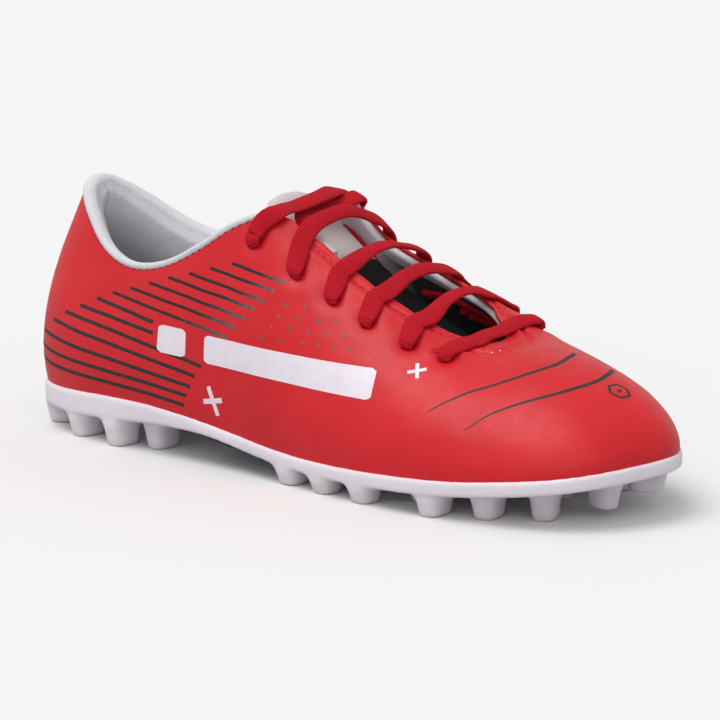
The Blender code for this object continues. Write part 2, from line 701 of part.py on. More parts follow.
def main():
    for obj in list(bpy.data.objects):
        bpy.data.objects.remove(obj, do_unlink=True)
    white = material("sole_white", (0.80, 0.76, 0.79), 0.42)
    navy = material("insert_navy", (0.02, 0.03, 0.09), 0.4)
    red = material("upper_red", (0.62, 0.02, 0.035), 0.45)
    tape = material("eyestay_tape", (0.55, 0.53, 0.52), 0.8)
    stiff = material("stiffener_board", (0.62, 0.58, 0.50), 0.75)
    foam = material("foam", (0.72, 0.70, 0.62), 0.95)
    textile = material("lining_textile", (0.58, 0.56, 0.58), 0.9)
    liner = material("sockliner_fabric", (0.20, 0.20, 0.22), 0.9)
    pale = material("tongue_pale", (0.68, 0.58, 0.60), 0.6)
    dark = material("tongue_mesh", (0.02, 0.02, 0.022), 0.9)
    lace = material("lace_red", (0.42, 0.012, 0.03), 0.85)
    tip = material("aglet_white", (0.82, 0.80, 0.80), 0.35)
    print_white = material("film_white", (0.80, 0.76, 0.80), 0.4)

    make_outsole(white)
    make_arch_insert(navy)
    footbed("insole_board", stiff,
            [(30, BOARD_HIGH), (LASTING_MARGIN, BOARD_HIGH), (BOARD_INSET, BOARD_HIGH),
             (BOARD_INSET, BOARD_LOW), (LASTING_MARGIN, BOARD_LOW), (30, BOARD_LOW)])
    footbed("sockliner", liner,
            [(30, SOCKLINER_LOW + 3.2), (LASTING_MARGIN + 3, SOCKLINER_LOW + 3.2),
             (SOCKLINER_INSET + 2.2, sockliner_edge), (SOCKLINER_INSET, sockliner_edge),
             (SOCKLINER_INSET, SOCKLINER_LOW), (LASTING_MARGIN, SOCKLINER_LOW),
             (30, SOCKLINER_LOW)], SOCKLINER_HINGE)

    shell = make_shell(red)
    lining = make_lining(textile)
    tape_outer = middle_piece("eyestay_tape_outer", tape, 6.5, 13.0, WALL_ROWS[3:], slack=0.2)
    tape_inner = middle_piece("eyestay_tape_inner", tape, 19.0, 25.0, WALL_ROWS[3:], slack=0.2)
    middle_piece("toe_puff", stiff, 13.5, 18.5, WALL_ROWS[:4])
    middle_piece("heel_counter", stiff, -4.0, 4.0, WALL_ROWS[:3])
    middle_piece("collar_foam", foam, -6.0, 6.0, WALL_ROWS[3:], padded=True)
    for side, eyelets, tape_piece in (("outer", OUTER_EYELETS, tape_outer), ("inner", INNER_EYELETS, tape_inner)):
        cutter = eyelet_cutter("punch_" + side, eyelets, white)
        for layer in (shell, lining, tape_piece):
            cut(layer, cutter, "DIFFERENCE")

    make_tongue(pale, dark, foam, textile)
    make_lace(lace, tip)
    for side, place in (("outer", list), ("inner", mirrored)):
        film("side_bar_" + side, print_white, place(LONG_BAR))
        film("side_square_" + side, print_white, place(SQUARE), columns=4)


main()
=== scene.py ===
"""Looks of the right football boot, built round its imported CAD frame.

Lengths are millimetres in the CAD source's own model frame until a mesh is made: x forward from the
back of the heel, y to the wearer's left (the inner side), z up.  SHIFT then puts them in the row frame.
"""
import math

import bmesh
import bpy
import numpy as np
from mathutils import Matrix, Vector


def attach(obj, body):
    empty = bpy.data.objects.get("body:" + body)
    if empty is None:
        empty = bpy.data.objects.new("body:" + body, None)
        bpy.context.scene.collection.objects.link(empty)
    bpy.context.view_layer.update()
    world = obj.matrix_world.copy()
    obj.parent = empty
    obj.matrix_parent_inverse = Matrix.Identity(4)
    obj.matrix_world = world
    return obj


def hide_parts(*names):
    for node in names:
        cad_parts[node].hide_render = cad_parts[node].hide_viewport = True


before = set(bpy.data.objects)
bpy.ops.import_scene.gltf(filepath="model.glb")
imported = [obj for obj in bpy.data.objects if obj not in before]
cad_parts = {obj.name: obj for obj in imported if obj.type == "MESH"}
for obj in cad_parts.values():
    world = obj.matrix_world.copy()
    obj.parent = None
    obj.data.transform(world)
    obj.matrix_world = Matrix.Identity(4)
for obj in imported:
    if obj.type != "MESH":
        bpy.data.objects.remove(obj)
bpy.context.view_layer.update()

MM = 0.001
SHIFT = np.array([-138.74, 0.98, 0.0])
LOOP = 32                                   # stations in one round of the boot

# ---------------- the last's shape, as in the CAD

SOLE_LINE = [(-6, 16.2), (25, 17.2), (50, 18.3), (70, 18.2), (90, 16.6), (115, 13.4), (142, 11.0),
             (168, 11.0), (196, 12.3), (217, 13.7), (236, 15.8), (256, 18.4), (270, 20.7), (284, 23.0)]
# One row for each station round the foot line: its x and y; how far out and how high the wall swells; the
# shoulder's share of the way from rim to foot line, and its drop below the rim; the rim's x, y and z.
STATIONS = np.array([
    (2, 0, 5.0, 24, .83, 33, 20, 0, 95.5),
    (5, -13, 5.0, 24, .85, 32, 22.5, -9.5, 92.5),
    (15, -23, 5.0, 22, .88, 28, 32, -17, 83.5),
    (33, -29.5, 4.5, 20, .92, 22, 44, -22.5, 73.8),
    (54, -33, 4.0, 18, .93, 16, 58, -25.5, 69.6),
    (74, -34.5, 4.0, 18, .93, 16, 74, -27, 72),
    (95, -35.5, 4.2, 20, .93, 20, 90, -27, 80),
    (112, -37, 4.5, 23, .92, 25, 106, -25, 90),
    (127, -39.5, 4.5, 25, .88, 28, 121, -21, 93.8),
    (143, -42, 4.5, 24, .84, 24, 137, -18.5, 85.3),
    (160, -45, 4.2, 23, .80, 19, 155, -17, 74.3),
    (181, -48, 4.0, 20, .68, 12, 172, -14.5, 65),
    (205, -49.3, 3.5, 17, .58, 6, 187, -10.5, 57.7),
    (230, -47, 3.0, 15, .54, 1, 195.5, -4, 53.6),
    (252, -40.5, 3.0, 15, .53, -3, 198.5, 0, 52.7),
    (268, -26, 3.0, 15.5, .52, -5.5, 200, 3, 52.5),
    (276, -2, 3.0, 16, .52, -5, 200.5, 6, 52.4),
    (268, 17, 3.0, 15.5, .52, -3.5, 200, 9.5, 52.7),
    (252, 32, 3.0, 15.5, .53, -1, 198, 13, 53.6),
    (232, 42, 3.0, 16.5, .55, 2.5, 193, 17, 56.8),
    (208, 47, 3.5, 20, .60, 6, 184, 20, 62.8),
    (184, 46.5, 4.0, 22, .70, 12, 172, 21.5, 67.8),
    (162, 42, 4.2, 24, .80, 18, 157, 22, 73.6),
    (144, 37, 4.5, 25, .85, 23, 140, 22, 80.5),
    (127, 33, 4.5, 26, .90, 28, 123.5, 22.5, 93),
    (110, 30.5, 4.5, 23, .95, 24, 108, 25, 90.5),
    (94, 30, 4.2, 20, 1.0, 19, 91.5, 27, 81.8),
    (76, 30.5, 4.0, 18, 1.0, 16, 75, 28, 75.2),
    (56, 31.3, 4.0, 18, .98, 16, 57, 27, 73.2),
    (34, 28.5, 4.5, 20, .92, 21, 42.5, 23.5, 78),
    (15, 21.5, 5.0, 22, .88, 28, 30.5, 17, 86.5),
    (5, 12, 5.0, 24, .85, 32, 22.5, 9, 93),
], float)

SHELL_THICKNESS = 1.4
LINING_INNER = 3.6
LINING_THICKNESS = 0.7


def closed_curve(rows, place):
    """Smooth closed curve through rows, read at places counted in rows."""
    base = np.floor(place).astype(int)
    part = (place - base)[..., None]
    before, start, end, after = (rows[(base + k) % len(rows)] for k in (-1, 0, 1, 2))
    return 0.5 * (2 * start + (end - before) * part
                  + (2 * before - 5 * start + 4 * end - after) * part ** 2
                  + (3 * start - before - 3 * end + after) * part ** 3)


def bend_between(k, u, width, values, slopes):
    """Cubic curve from value k to the next one; u runs from 0 to 1 over the width between them."""
    return ((2 * u ** 3 - 3 * u ** 2 + 1) * values[k] + (u ** 3 - 2 * u ** 2 + u) * width * slopes[k]
            + (3 * u ** 2 - 2 * u ** 3) * values[k + 1] + (u ** 3 - u ** 2) * width * slopes[k + 1])


def open_curve(points, x):
    """Smooth height against x through a few (x, height) points."""
    knots, values = np.array(points, float).T
    slopes = np.gradient(values, knots)
    x = np.clip(x, knots[0], knots[-1])
    k = np.clip(np.searchsorted(knots, x) - 1, 0, len(knots) - 2)
    width = knots[k + 1] - knots[k]
    return bend_between(k, (x - knots[k]) / width, width, values, slopes)


def unit(vectors):
    return vectors / np.linalg.norm(vectors, axis=-1, keepdims=True)


def distance_along(line):
    """How far each point of a line is from its first one, measured along the line."""
    return np.concatenate([[0], np.cumsum(np.linalg.norm(np.diff(line, axis=0), axis=1))])


def full_turn(count):
    """Evenly spread angles round a circle."""
    return np.linspace(0, 2 * math.pi, count, endpoint=False)


def squared(wave, power):
    """A sine or cosine with its peaks widened, which turns a circle into a rounded square."""
    return np.sign(wave) * np.abs(wave) ** power


def smooth_step(low, high, value):
    share = np.clip((value - low) / (high - low), 0, 1)
    return share * share * (3 - 2 * share)


def sole_line(x):
    return open_curve(SOLE_LINE, x)


def foot_edge(t):
    """Point and outward direction of the upper's foot line."""
    t = np.asarray(t, float)
    along = unit(closed_curve(STATIONS[:, :2], t + 0.02) - closed_curve(STATIONS[:, :2], t - 0.02))
    outward = np.stack([along[..., 1], -along[..., 0]], -1)
    return closed_curve(STATIONS[:, :2], t), outward


def skin_point(t, s):
    """Outer face of the upper: t runs round the boot, s from the sole line (0) to the opening (1)."""
    t, s = np.broadcast_arrays(np.asarray(t, float), np.asarray(s, float))
    edge, outward = foot_edge(t)
    shape = closed_curve(STATIONS[:, 2:6], t)
    rim = closed_curve(STATIONS[:, 6:9], t)
    start = np.concatenate([edge, sole_line(edge[..., 0])[..., None]], -1)
    zeros = np.zeros(t.shape)
    lift = np.stack([zeros, zeros, shape[..., 1]], -1)
    side = np.concatenate([outward * shape[..., 0:1], zeros[..., None]], -1)
    low = start + side + lift
    shoulder = rim + (start - rim) * shape[..., 2:3]
    shoulder[..., 2] = rim[..., 2] - shape[..., 3]
    s = s[..., None]
    return ((1 - s) ** 3 * start + 3 * (1 - s) ** 2 * s * low
            + 3 * (1 - s) * s ** 2 * shoulder + s ** 3 * rim)


def skin(t, s, depth=0.0):
    """Point at a depth below the upper's outer face, and the outward normal there."""
    t, s = np.broadcast_arrays(np.asarray(t, float), np.asarray(s, float))
    around = skin_point(t + 0.01, s) - skin_point(t - 0.01, s)
    upward = skin_point(t, np.clip(s + 0.01, 0, 1)) - skin_point(t, np.clip(s - 0.01, 0, 1))
    normal = unit(np.cross(around, upward))
    return skin_point(t, s) - normal * np.asarray(depth, float)[..., None], normal


def below_rim(t, distance):
    """The s at distances below the opening's edge: one row of distances for each place t."""
    t = np.asarray(t, float)
    samples = np.linspace(1, 0, 161)
    lines = skin_point(t[:, None], samples[None, :])
    steps = np.linalg.norm(np.diff(lines, axis=1), axis=2)
    runs = np.concatenate([np.zeros((len(t), 1)), np.cumsum(steps, axis=1)], axis=1)
    distance = np.broadcast_to(distance, (len(t), np.shape(distance)[-1]))
    return np.array([np.interp(row, run, samples) for row, run in zip(distance, runs)])


def wall_length(t):
    """Length of the wall from the opening's edge down to the sole line, at places t."""
    lines = skin_point(np.asarray(t, float)[:, None], np.linspace(1, 0, 81)[None, :])
    return np.sum(np.linalg.norm(np.diff(lines, axis=1), axis=2), axis=1)


def from_edge(t, distance):
    return float(below_rim(np.array([t]), np.array([[distance]]))[0, 0])


def from_heel(t):
    """Distance from the middle of the heel, counted in stations, the same on both sides."""
    return np.abs((np.asarray(t, float) + LOOP / 2) % LOOP - LOOP / 2)


# ---------------- making pieces

def to_row(points):
    return (np.asarray(points, float) + SHIFT) * MM


def closed_mesh(name, points, faces):
    """Mesh from model millimetres; its faces are turned over when it encloses a negative volume."""
    mesh = bpy.data.meshes.new(name)
    mesh.from_pydata(to_row(points).tolist(), [], faces)
    work = bmesh.new()
    work.from_mesh(mesh)
    if work.calc_volume(signed=True) < 0:
        bmesh.ops.reverse_faces(work, faces=work.faces)
        work.to_mesh(mesh)
    work.free()
    return mesh


def add_piece(name, points, faces, look, body, slot, uv=None, crisp=False):
    """Piece that rides on a body; uv holds a pair for each point, and crisp keeps its sharp edges."""
    mesh = closed_mesh(name, points, faces)
    mesh.materials.append(look)
    if uv is not None:
        corner = np.empty(len(mesh.loops), int)
        mesh.loops.foreach_get("vertex_index", corner)
        mesh.uv_layers.new(name="UVMap").data.foreach_set("uv", np.asarray(uv, float)[corner].ravel())
    mesh.shade_smooth()
    if crisp:
        mesh.set_sharp_from_angle(angle=math.radians(40))
    piece = bpy.data.objects.new(name, mesh)
    bpy.context.collection.objects.link(piece)
    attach(piece, body)
    return piece


def apply_modifiers(piece):
    """Bake a piece's modifiers into its mesh."""
    depsgraph = bpy.context.evaluated_depsgraph_get()
    mesh = bpy.data.meshes.new_from_object(piece.evaluated_get(depsgraph))
    piece.modifiers.clear()
    piece.data = mesh
    mesh.shade_smooth()


def tube_faces(rings, sides, closed, first=0):
    """Quads between successive rings of the same number of points, capped unless closed."""
    faces = []
    for i in range(rings if closed else rings - 1):
        j = (i + 1) % rings
        for k in range(sides):
            m = (k + 1) % sides
            quad = (i * sides + k, j * sides + k, j * sides + m, i * sides + m)
            faces.append(tuple(first + corner for corner in quad))
    if not closed:
        faces.append(tuple(first + k for k in range(sides)))
        faces.append(tuple(first + (rings - 1) * sides + k for k in reversed(range(sides))))
    return faces


def add_tube(name, sections, closed, look, body, slot, uv=None):
    """Piece through a row of sections that all have the same number of points."""
    rings, sides = sections.shape[:2]
    return add_piece(name, sections.reshape(-1, 3), tube_faces(rings, sides, closed), look, body, slot, uv)


def slab_faces(rows, columns):
    """Faces of a closed solid whose two grids of points follow each other."""
    half = rows * columns
    faces = []
    for i in range(rows - 1):
        for j in range(columns - 1):
            a = i * columns + j
            quad = (a, a + columns, a + columns + 1, a + 1)
            faces.append(quad)
            faces.append(tuple(half + p for p in reversed(quad)))
    border = list(range(columns))
    border += [i * columns + columns - 1 for i in range(1, rows)]
    border += [(rows - 1) * columns + j for j in range(columns - 2, -1, -1)]
    border += [i * columns for i in range(rows - 2, 0, -1)]
    for a, b in zip(border, border[1:] + border[:1]):
        faces.append((a, b, half + b, half + a))
    return faces


# ---------------- procedural materials

class Look:
    """One Principled material and short ways to add nodes to it."""

    def __init__(self, name, colour, roughness, **sockets):
        self.material = bpy.data.materials.new(name)
        self.material.use_nodes = True
        self.tree = self.material.node_tree
        self.shader = self.tree.nodes["Principled BSDF"]
        self.shader.inputs["Base Color"].default_value = (*colour, 1.0)
        self.shader.inputs["Roughness"].default_value = roughness
        for socket, value in sockets.items():
            self.shader.inputs[socket.replace("_", " ")].default_value = value

    def add(self, kind, settings=None, **inputs):
        made = self.tree.nodes.new(kind)
        for key, value in (settings or {}).items():
            setattr(made, key, value)
        for key, value in inputs.items():
            self.put(value, made.inputs[key.replace("_", " ")])
        return made

    def put(self, value, socket):
        if isinstance(value, bpy.types.NodeSocket):
            self.tree.links.new(value, socket)
        else:
            socket.default_value = value

    def place(self):
        """The point's position in metres in the piece's own frame."""
        return self.add("ShaderNodeTexCoord").outputs["Object"]

    def noise(self, scale, detail):
        node = self.add("ShaderNodeTexNoise", Vector=self.place(), Scale=scale, Detail=detail)
        return node.outputs["Fac"]

    def cells(self, scale, feature="F1"):
        node = self.add("ShaderNodeTexVoronoi", {"feature": feature}, Vector=self.place(), Scale=scale)
        return node.outputs["Distance"]

    def math(self, operation, first, second=0.0):
        node = self.add("ShaderNodeMath", {"operation": operation})
        self.put(first, node.inputs[0])
        self.put(second, node.inputs[1])
        return node.outputs[0]

    def span(self, value, low, high, to_low=0.0, to_high=1.0):
        node = self.add("ShaderNodeMapRange", None, Value=value)
        for index, number in ((1, low), (2, high), (3, to_low), (4, to_high)):
            node.inputs[index].default_value = number
        return node.outputs["Result"]

    def mix(self, share, first, second):
        node = self.add("ShaderNodeMix", {"data_type": "RGBA"})
        self.put(share, node.inputs["Factor"])
        for index, colour in ((6, first), (7, second)):
            self.put((*colour, 1.0) if isinstance(colour, tuple) else colour, node.inputs[index])
        return node.outputs[2]

    def blend(self, value, low, high, first, second, most=1.0):
        """The first colour below the low value, turning into the second one up to the high value."""
        return self.mix(self.span(value, low, high, 0.0, most), first, second)

    def sum(self, first, second, share=1.0):
        """The first value plus a share of the second."""
        return self.math("ADD", first, second if share == 1.0 else self.math("MULTIPLY", second, share))

    def uv(self):
        """The two parts of the piece's own UV."""
        whole = self.add("ShaderNodeUVMap", {"uv_map": "UVMap"}).outputs["UV"]
        parts = self.add("ShaderNodeSeparateXYZ", None, Vector=whole)
        return parts.outputs["X"], parts.outputs["Y"]

    def colour(self, value):
        self.put(value, self.shader.inputs["Base Color"])

    def roughness(self, value):
        self.put(value, self.shader.inputs["Roughness"])

    def bump(self, height, distance, strength=1.0):
        """Bump of a height from 0 to 1 over a distance in millimetres, on top of any bump already there."""
        socket = self.shader.inputs["Normal"]
        before = socket.links[0].from_socket if socket.links else None
        node = self.add("ShaderNodeBump", None, Height=height, Distance=distance * MM, Strength=strength)
        if before:
            self.put(before, node.inputs["Normal"])
        self.put(node.outputs["Normal"], socket)


def leather_look():
    """Satin coated synthetic: fine pebble grain, faint cloudiness, slightly darker in the grain."""
    look = Look("upper_red_satin", (0.66, 0.010, 0.018), 0.46, Specular_IOR_Level=0.38)
    grain = look.cells(1150.0, feature="SMOOTH_F1")
    fine = look.noise(2600.0, 2.0)
    cloud = look.noise(28.0, 3.0)
    wear = look.noise(150.0, 4.0)
    base = look.blend(cloud, 0.35, 0.65, (0.63, 0.008, 0.015), (0.72, 0.012, 0.021))
    look.colour(look.blend(grain, 0.25, 0.75, base, (0.50, 0.005, 0.010), 0.25))
    look.roughness(look.span(look.sum(wear, grain, 0.5), 0.4, 1.1, 0.36, 0.5))
    look.bump(grain, 0.035, 0.45)
    look.bump(fine, 0.02, 0.35)
    look.bump(wear, 0.06, 0.25)
    return look.material


WEAVE_PITCH = 1.0                           # millimetres along the braid
WEAVE_WIDTH = 7.4 / 6                       # six threads lie side by side


def woven_look(name, colour, deep):
    """Flat woven braid; the piece's UV runs in millimetres along it and across it."""
    look = Look(name, colour, 0.9, Specular_IOR_Level=0.2)
    along, across = look.uv()
    turn = 2 * math.pi
    lean = look.math("MULTIPLY", look.math("ABSOLUTE", across), 0.7)
    rows = look.math("SINE", look.math("MULTIPLY", look.math("ADD", along, lean), turn / WEAVE_PITCH))
    ribs = look.math("SINE", look.math("MULTIPLY", across, turn / WEAVE_WIDTH))
    weave = look.span(look.math("MULTIPLY", rows, ribs), -1.0, 1.0)
    fuzz = look.noise(1100.0, 5.0)
    cloud = look.noise(110.0, 3.0)
    shade = look.sum(look.math("MULTIPLY", weave, 0.75), fuzz, 0.6)
    tone = look.blend(shade, 0.3, 0.95, deep, colour)
    look.colour(look.blend(cloud, 0.35, 0.7, tone, tuple(0.7 * c for c in colour), 0.4))
    look.bump(weave, 0.2, 0.9)
    look.bump(fuzz, 0.2, 0.8)
    return look.material


def knit(look, scale, fuzz_scale, colour, deep):
    """Nodes of a brushed knit: its loops, fuzz and slow cloudiness, and the colour they give."""
    loops = look.cells(scale)
    fuzz = look.noise(fuzz_scale, 5.0)
    cloud = look.noise(60.0, 3.0)
    tone = look.blend(look.sum(loops, fuzz), 0.4, 1.4, colour, deep)
    return loops, fuzz, cloud, look.blend(cloud, 0.35, 0.7, tone, deep, 0.25)


def textile_look(name, colour, deep, scale=1300.0, depth=0.08, sheen=0.25):
    """Short brushed knit without a direction."""
    look = Look(name, colour, 0.9, Sheen_Weight=sheen, Sheen_Roughness=0.5)
    loops, fuzz, _, tone = knit(look, scale, scale * 0.6, colour, deep)
    look.colour(tone)
    look.bump(loops, depth, 0.8)
    look.bump(fuzz, depth, 0.6)
    return look.material


LINING_PALE = (0.80, 0.785, 0.815)
LINING_DEEP = (0.66, 0.65, 0.69)


def lining_look():
    """Pale brushed knit with painted shade: it turns nearly black below its edge under the lacing, in place
    of the throat's shadow.

    The piece's UV is its place round the boot in stations from the heel, and the millimetres below the edge.
    """
    look = Look("lining_brushed", LINING_PALE, 0.9, Sheen_Weight=0.1, Sheen_Roughness=0.5)
    around, below = look.uv()
    loops, fuzz, cloud, pale = knit(look, 1400.0, 850.0, LINING_PALE, LINING_DEEP)
    ragged = look.sum(below, fuzz, 2.5)
    # painted shade: below its edge under the lacing the lining is mixed to near black, standing in for the
    # shadow in the throat
    painted_shade_under_lacing = look.math("MULTIPLY", look.span(ragged, 6.0, 7.2), look.span(around, 8.6, 9.4))
    look.colour(look.mix(painted_shade_under_lacing, pale, (0.012, 0.012, 0.013)))
    look.bump(loops, 0.06, 0.8)
    look.bump(fuzz, 0.1, 0.7)
    look.bump(cloud, 0.35, 0.3)
    return look.material


def mesh_look():
    """Fine dark mesh: close round pores between thin threads; its own dark colour is darkened further to
    near black as painted shade of the deep throat.
    """
    look = Look("tongue_dark_mesh_painted_shade", (0.008, 0.008, 0.009), 0.9, Specular_IOR_Level=0.15)
    pores = look.cells(1300.0)
    threads = look.span(pores, 0.25, 0.6)
    fuzz = look.noise(1500.0, 3.0)
    # near-black tones: partly the mesh's own dark colour, partly painted shade of the throat under the
    # lacing
    look.colour(look.mix(threads, (0.002, 0.002, 0.002), (0.010, 0.010, 0.012)))
    look.bump(threads, 0.12, 0.8)
    look.bump(fuzz, 0.06, 0.5)
    return look.material


def sole_look():
    """Moulded translucent-white urethane, a little warmer and duller on the worn stud tips."""
    look = Look("sole_moulded_white", (0.76, 0.71, 0.77), 0.4, Subsurface_Weight=0.12,
                Subsurface_Scale=0.002, Subsurface_Radius=(1.0, 0.8, 0.9))
    height = look.add("ShaderNodeSeparateXYZ", None, Vector=look.place()).outputs["Z"]
    cloud = look.noise(45.0, 4.0)
    speck = look.noise(900.0, 2.0)
    ragged = look.sum(height, look.math("SUBTRACT", cloud, 0.5), 0.004)
    worn = look.span(ragged, 0.0002, 0.0028, 0.55, 0.0)
    base = look.blend(cloud, 0.35, 0.7, (0.83, 0.775, 0.84), (0.88, 0.83, 0.88))
    look.colour(look.mix(worn, base, (0.78, 0.66, 0.60)))
    look.roughness(look.span(speck, 0.3, 0.7, 0.34, 0.5))
    look.bump(look.noise(420.0, 3.0), 0.05, 0.35)
    look.bump(speck, 0.02, 0.4)
    return look.material


def print_look(name, colour, worn_colour, roughness=0.45, scale=500.0):
    """Screen print or transfer film with small uneven patches."""
    look = Look(name, colour, roughness)
    patches = look.noise(scale, 4.0)
    look.colour(look.blend(patches, 0.42, 0.72, colour, worn_colour))
    look.roughness(look.span(patches, 0.3, 0.7, roughness - 0.06, roughness + 0.12))
    look.bump(patches, 0.02, 0.4)
    return look.material


def fading_print_look():
    """Dark print that fades to grey towards its front end; UV x runs from 0 to 1 along it."""
    look = Look("print_dark_fading", (0.03, 0.028, 0.03), 0.5)
    along, _ = look.uv()
    patches = look.noise(700.0, 4.0)
    share = look.sum(along, look.math("SUBTRACT", patches, 0.5), 0.5)
    look.colour(look.blend(share, 0.6, 1.15, (0.010, 0.009, 0.010), (0.19, 0.16, 0.15)))
    look.bump(patches, 0.02, 0.4)
    return look.material


def plain_look(name, colour, deep, roughness, scale, depth):
    """Inner material such as board or foam: fine cells and a slow change of tone."""
    look = Look(name, colour, roughness)
    cells = look.cells(scale)
    cloud = look.noise(scale * 0.06, 3.0)
    look.colour(look.blend(look.sum(cells, cloud), 0.5, 1.2, colour, deep))
    look.bump(cells, depth, 0.7)
    return look.material


FOAM = ((0.72, 0.70, 0.62), (0.55, 0.52, 0.44), 0.95, 1200.0, 0.15)


def padded_pale_look():
    """Soft padded synthetic, pale grey with a fine satin grain; its pinkish tint is a painted reflection of
    the red laces.
    """
    look = Look("tongue_pale_satin", (0.62, 0.50, 0.53), 0.5, Sheen_Weight=0.3, Sheen_Roughness=0.4)
    grain = look.cells(1500.0, feature="SMOOTH_F1")
    cloud = look.noise(70.0, 4.0)
    # both tones carry a pink tint that is a painted reflection of the red laces on the pale pad
    look.colour(look.blend(cloud, 0.3, 0.7, (0.60, 0.49, 0.52), (0.68, 0.60, 0.62)))
    look.bump(grain, 0.04, 0.5)
    look.bump(cloud, 0.3, 0.4)
    return look.material


def aglet_look():
    """Clear plastic over a pale core."""
    look = Look("aglet_clear_white", (0.8, 0.78, 0.78), 0.3, Transmission_Weight=0.25, Coat_Weight=0.3)
    bands = look.noise(260.0, 2.0)
    look.colour(look.blend(bands, 0.35, 0.7, (0.84, 0.82, 0.82), (0.66, 0.62, 0.63)))
    look.bump(bands, 0.1, 0.5)
    return look.material


def ground_look():
    """Pale floor that looks brighter to the camera than it is to the light it throws back on the boot."""
    look = Look("ground_pale", (0.86, 0.86, 0.86), 0.9)
    pale = look.mix(look.noise(3.0, 2.0), (0.866, 0.866, 0.868), (0.874, 0.874, 0.874))
    seen = look.add("ShaderNodeLightPath").outputs["Is Camera Ray"]
    look.colour(look.mix(seen, (0.46, 0.46, 0.465), pale))
    return look.material


# ---------------- camera, light, ground

CAMERA_TARGET = (147.0, 0.0, 40.0)
CAMERA_TURN, CAMERA_LIFT = 36.29, 12.38     # degrees
CAMERA_DISTANCE = 1.4
SUNS = (("key", 330, 66, 40, 1.30), ("front_fill", 30, 38, 60, 0.45))


def add_aimed(name, data, turn, lift, target=(0, 0, 0), distance=0.0):
    """Camera or lamp that looks at a target from a direction given in degrees; turn 0 is the outer side."""
    turn, lift = math.radians(turn), math.radians(lift)
    back = Vector((math.sin(turn) * math.cos(lift), -math.cos(turn) * math.cos(lift), math.sin(lift)))
    made = bpy.data.objects.new(name, data)
    made.location = Vector(target) + back * distance
    made.rotation_mode = "QUATERNION"
    made.rotation_quaternion = (-back).to_track_quat("-Z", "Y")
    bpy.context.collection.objects.link(made)
    return made


def make_camera():
    data = bpy.data.cameras.new("camera")
    data.sensor_width = 36.0
    data.lens = 193.5
    data.shift_x = -0.0135
    data.shift_y = -0.0017
    data.clip_end = 60.0
    target = to_row(CAMERA_TARGET)
    bpy.context.scene.camera = add_aimed("camera", data, CAMERA_TURN, CAMERA_LIFT, target, CAMERA_DISTANCE)


def make_light():
    """Even white surroundings and two broad suns."""
    world = bpy.data.worlds.new("studio")
    world.use_nodes = True
    background = world.node_tree.nodes["Background"]
    background.inputs["Color"].default_value = (1.0, 1.0, 1.0, 1.0)
    background.inputs["Strength"].default_value = 0.60
    bpy.context.scene.world = world
    bpy.context.scene.view_settings.view_transform = "Standard"
    for name, turn, lift, spread, strength in SUNS:
        lamp = bpy.data.lights.new(name, "SUN")
        lamp.angle = math.radians(spread)
        lamp.energy = strength
        add_aimed(name, lamp, turn, lift)


def make_ground():
    mesh = bpy.data.meshes.new("ground")
    reach = 14.0
    corners = [(-reach, -reach, 0), (reach, -reach, 0), (reach, reach, 0), (-reach, reach, 0)]
    mesh.from_pydata(corners, [], [(0, 1, 2, 3)])
    mesh.materials.append(ground_look())
    ground = bpy.data.objects.new("ground", mesh)
    bpy.context.collection.objects.link(ground)


# ---------------- lace

EYELET_FROM_RIM = [10.5, 16.0, 14.5, 14.5, 15.5, 17.0]
OUTER_EYELETS = [7.55, 8.72, 9.66, 10.48, 11.4, 12.22]
INNER_EYELETS = [24.3, 23.2, 22.3, 21.4, 20.4, 19.6]
EYELETS = list(zip(OUTER_EYELETS + INNER_EYELETS, EYELET_FROM_RIM * 2))
BAR_RISE = [0, 7.6, 5.6, 4.8, 4.0]          # height of each bar's middle over its ends
BAR_LEAN = [0, 0.06, 0.10, 0.12, 0.18]      # how far towards the toe each bar crosses the edges
BAR_TWIST = [0, -12, 12, -10, 13]           # degrees
BAR_WIDTH = 6.0
LACE_WIDTH = 7.4
LACE_THICKNESS = 1.9
BUNCHED = (3.2, 2.1)                        # the lace squeezed through an eyelet
RUN_HEIGHT = -(LINING_INNER + 2.2)          # middle of the lace where it runs inside the upper
RUN_SHIFT = 5.5                             # how far a passing run keeps from an occupied eyelet
ON_SKIN = 1.35
OVER_FILM = 2.1
LACE_STEP = 0.8


def skin_key(t, from_rim, height, toward_toe, width=LACE_WIDTH, thickness=LACE_THICKNESS):
    """Lace key on the skin; its width lies along the eyestay, or across it on the inside runs."""
    s = from_edge(t, from_rim)
    point, normal = skin(t, s, -height)
    along = unit(skin_point(t + 0.02, s) - skin_point(t - 0.02, s))
    if t > LOOP / 2:
        along = -along
    direction = along if toward_toe else np.cross(normal, along)
    return [*point, *direction, width, thickness]


def eyelet_keys(eyelets, row):
    """Keys from inside the upper, out through an eyelet and over to the opening's edge."""
    t, from_rim = eyelets[row], EYELET_FROM_RIM[row]
    steps = [(0, RUN_HEIGHT + .5, *BUNCHED), (0, -3.4, *BUNCHED), (0.5, -0.8, 3.8, 2.4),
             (1.4, 0.5, 4.9, 2.5), (0.2, 1.5, 6.0, 2.4), (-2.6, ON_SKIN + 0.1, 6.8), (-5.8, ON_SKIN)]
    if from_rim > 12:
        steps.append((-10.0, ON_SKIN))
    return [skin_key(t, from_rim + away, height, True, *size) for away, height, *size in steps]


def rim_key(t, height=1.7):
    return skin_key(t, 0.4, height, True)


